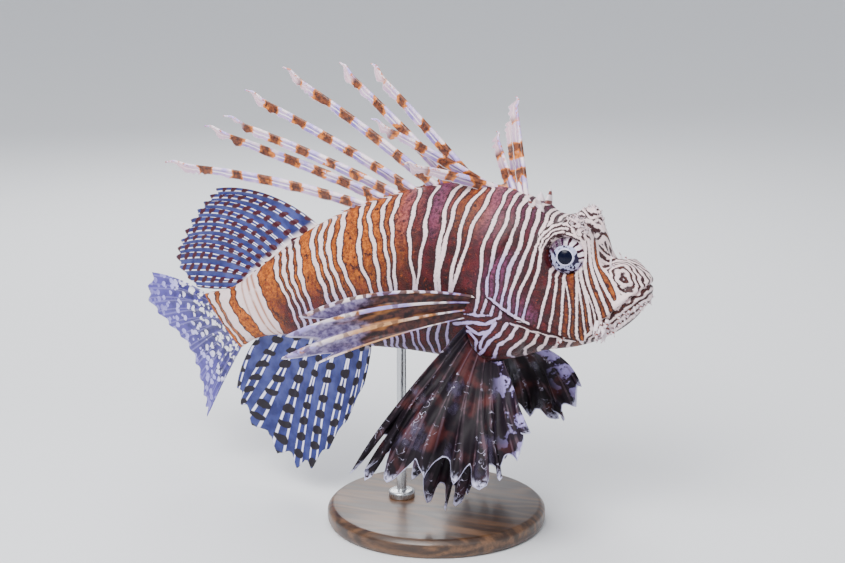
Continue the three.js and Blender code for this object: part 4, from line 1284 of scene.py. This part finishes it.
# Floor, backdrop, light and camera
def build_studio():
    """A pale floor that curves up into a wall all round, far outside the object, and soft lights."""
    m = Nodes("studio_paper")
    m.set(Base_Color=PAPER, Roughness=0.9)
    curve = np.linspace(0, math.pi / 2, 16)
    floor, bow = BOWL["floor"], BOWL["curve"]
    radius = np.concatenate([[0.02, 1.5, 4.5], floor + bow * np.sin(curve), [floor + bow]])[:, None]
    height = np.concatenate([[0, 0, 0], bow - bow * np.cos(curve), [bow + BOWL["wall"]]])[:, None]
    a = turn(BOWL["around"])
    rings = np.stack([radius * np.cos(a), radius * np.sin(a), height + 0 * a], -1)
    faces = [f.tolist() for f in ring_faces(len(radius), len(a))] + [list(range(len(a)))]
    mesh = bpy.data.meshes.new("studio_bowl")
    mesh.from_pydata(rings.reshape(-1, 3).tolist(), [], faces)
    mesh.polygons.foreach_set("use_smooth", [True] * len(faces))
    mesh.materials.append(m.material)
    placed("studio_bowl", mesh)
    for name, at, size, power in LIGHTS:
        light = bpy.data.lights.new(name, "AREA")
        light.size = size
        light.energy = power
        lamp = placed(name, light)
        lamp.location = at
        lamp.rotation_euler = (LIGHT_AIM - Vector(at)).to_track_quat("-Z", "Y").to_euler()
    sky = bpy.data.lights.new("sky", "SUN")
    sky.energy = SKY["power"]
    sky.angle = SKY["angle"]
    placed("sky", sky).rotation_euler = SKY["tilt"]
    world = bpy.data.worlds.new("studio")
    world.use_nodes = True
    sky_inputs = world.node_tree.nodes["Background"].inputs
    sky_inputs["Color"].default_value = AIR["colour"]
    sky_inputs["Strength"].default_value = AIR["power"]
    bpy.context.scene.world = world


def build_camera():
    azimuth, elevation = math.radians(CAMERA["azimuth"]), math.radians(CAMERA["elevation"])
    back = Vector((
        math.sin(azimuth) * math.cos(elevation),
        -math.cos(azimuth) * math.cos(elevation),
        math.sin(elevation),
    ))
    data = bpy.data.cameras.new("photo_view")
    data.lens = CAMERA["lens"]
    data.sensor_width = 36
    data.clip_start = 0.05
    camera = placed("photo_view", data)
    camera.location = Vector(ORIGIN * METRE) + back * CAMERA["distance"]
    camera.rotation_euler = (-back).to_track_quat("-Z", "Y").to_euler()
    bpy.context.scene.camera = camera


build_camera()
build_studio()
build_skin(skin_material())
eye_look = eye_material()
build_eye("eye_right", -1, eye_look)
build_eye("eye_left", 1, eye_look)
spine_look = spine_material()
for part, spines, rise in (("nape", NAPE_SPINES, 5.0), ("mid", MID_SPINES, 4.0), ("rear", REAR_SPINES, 8.0)):
    build_spines("dorsal_spines_" + part, spines, spine_look, rise)
dorsal_look = soft_fin_material(
    "soft_dorsal_spotted",
    spacing=7.4, spot=2.0, across=0.34, lean=2.6, dark=(0.050, 0.003, 0.010), line=0.060,
)
anal_look = soft_fin_material(
    "anal_spotted",
    spacing=10.2, spot=2.6, across=0.31, lean=4.4, dark=(0.006, 0.002, 0.008), line=0.065,
)
lower_look = dark_fin_material("pectoral_dark", blush=(0.062, 0.014, 0.014), violet=(6.0, 8.0))
pelvic_look = dark_fin_material("pelvic_dark", blush=(0.036, 0.012, 0.020), violet=(9.0, 9.5))
upper_look = blade_fin_material()
fin_piece("dorsal_fin_soft", SOFT_DORSAL, 1, dorsal_look, pleat=0.3, fray=0.01, fork=(0.09, 0.25))
fin_piece("anal_fin", ANAL, 1, anal_look, pleat=0.3, fray=0.012, fork=(0.05, 0.22))
fin_piece("tail_fin", CAUDAL, 1, tail_material(), pleat=0.4, fray=0.012)
for side, word in ((-1, "right"), (1, "left")):
    fin_piece(
        "pectoral_fin_upper_" + word, PECTORAL_UPPER, side, upper_look,
        pleat=0.5, per_gap=20, fray=0.01,
    )
    fin_piece(
        "pectoral_fin_lower_" + word, PECTORAL_LOWER, side, lower_look,
        pleat=0.55, per_gap=14, fray=0.008, curl=2.8, ray=0.32, cut=0.16,
    )
    fin_piece(
        "pelvic_fin_" + word, PELVIC, side, pelvic_look,
        pleat=0.5, per_gap=16, fray=0.008, curl=1.8, ray=0.32, cut=0.12,
    )
build_fringe(fringe_material())
build_stand()
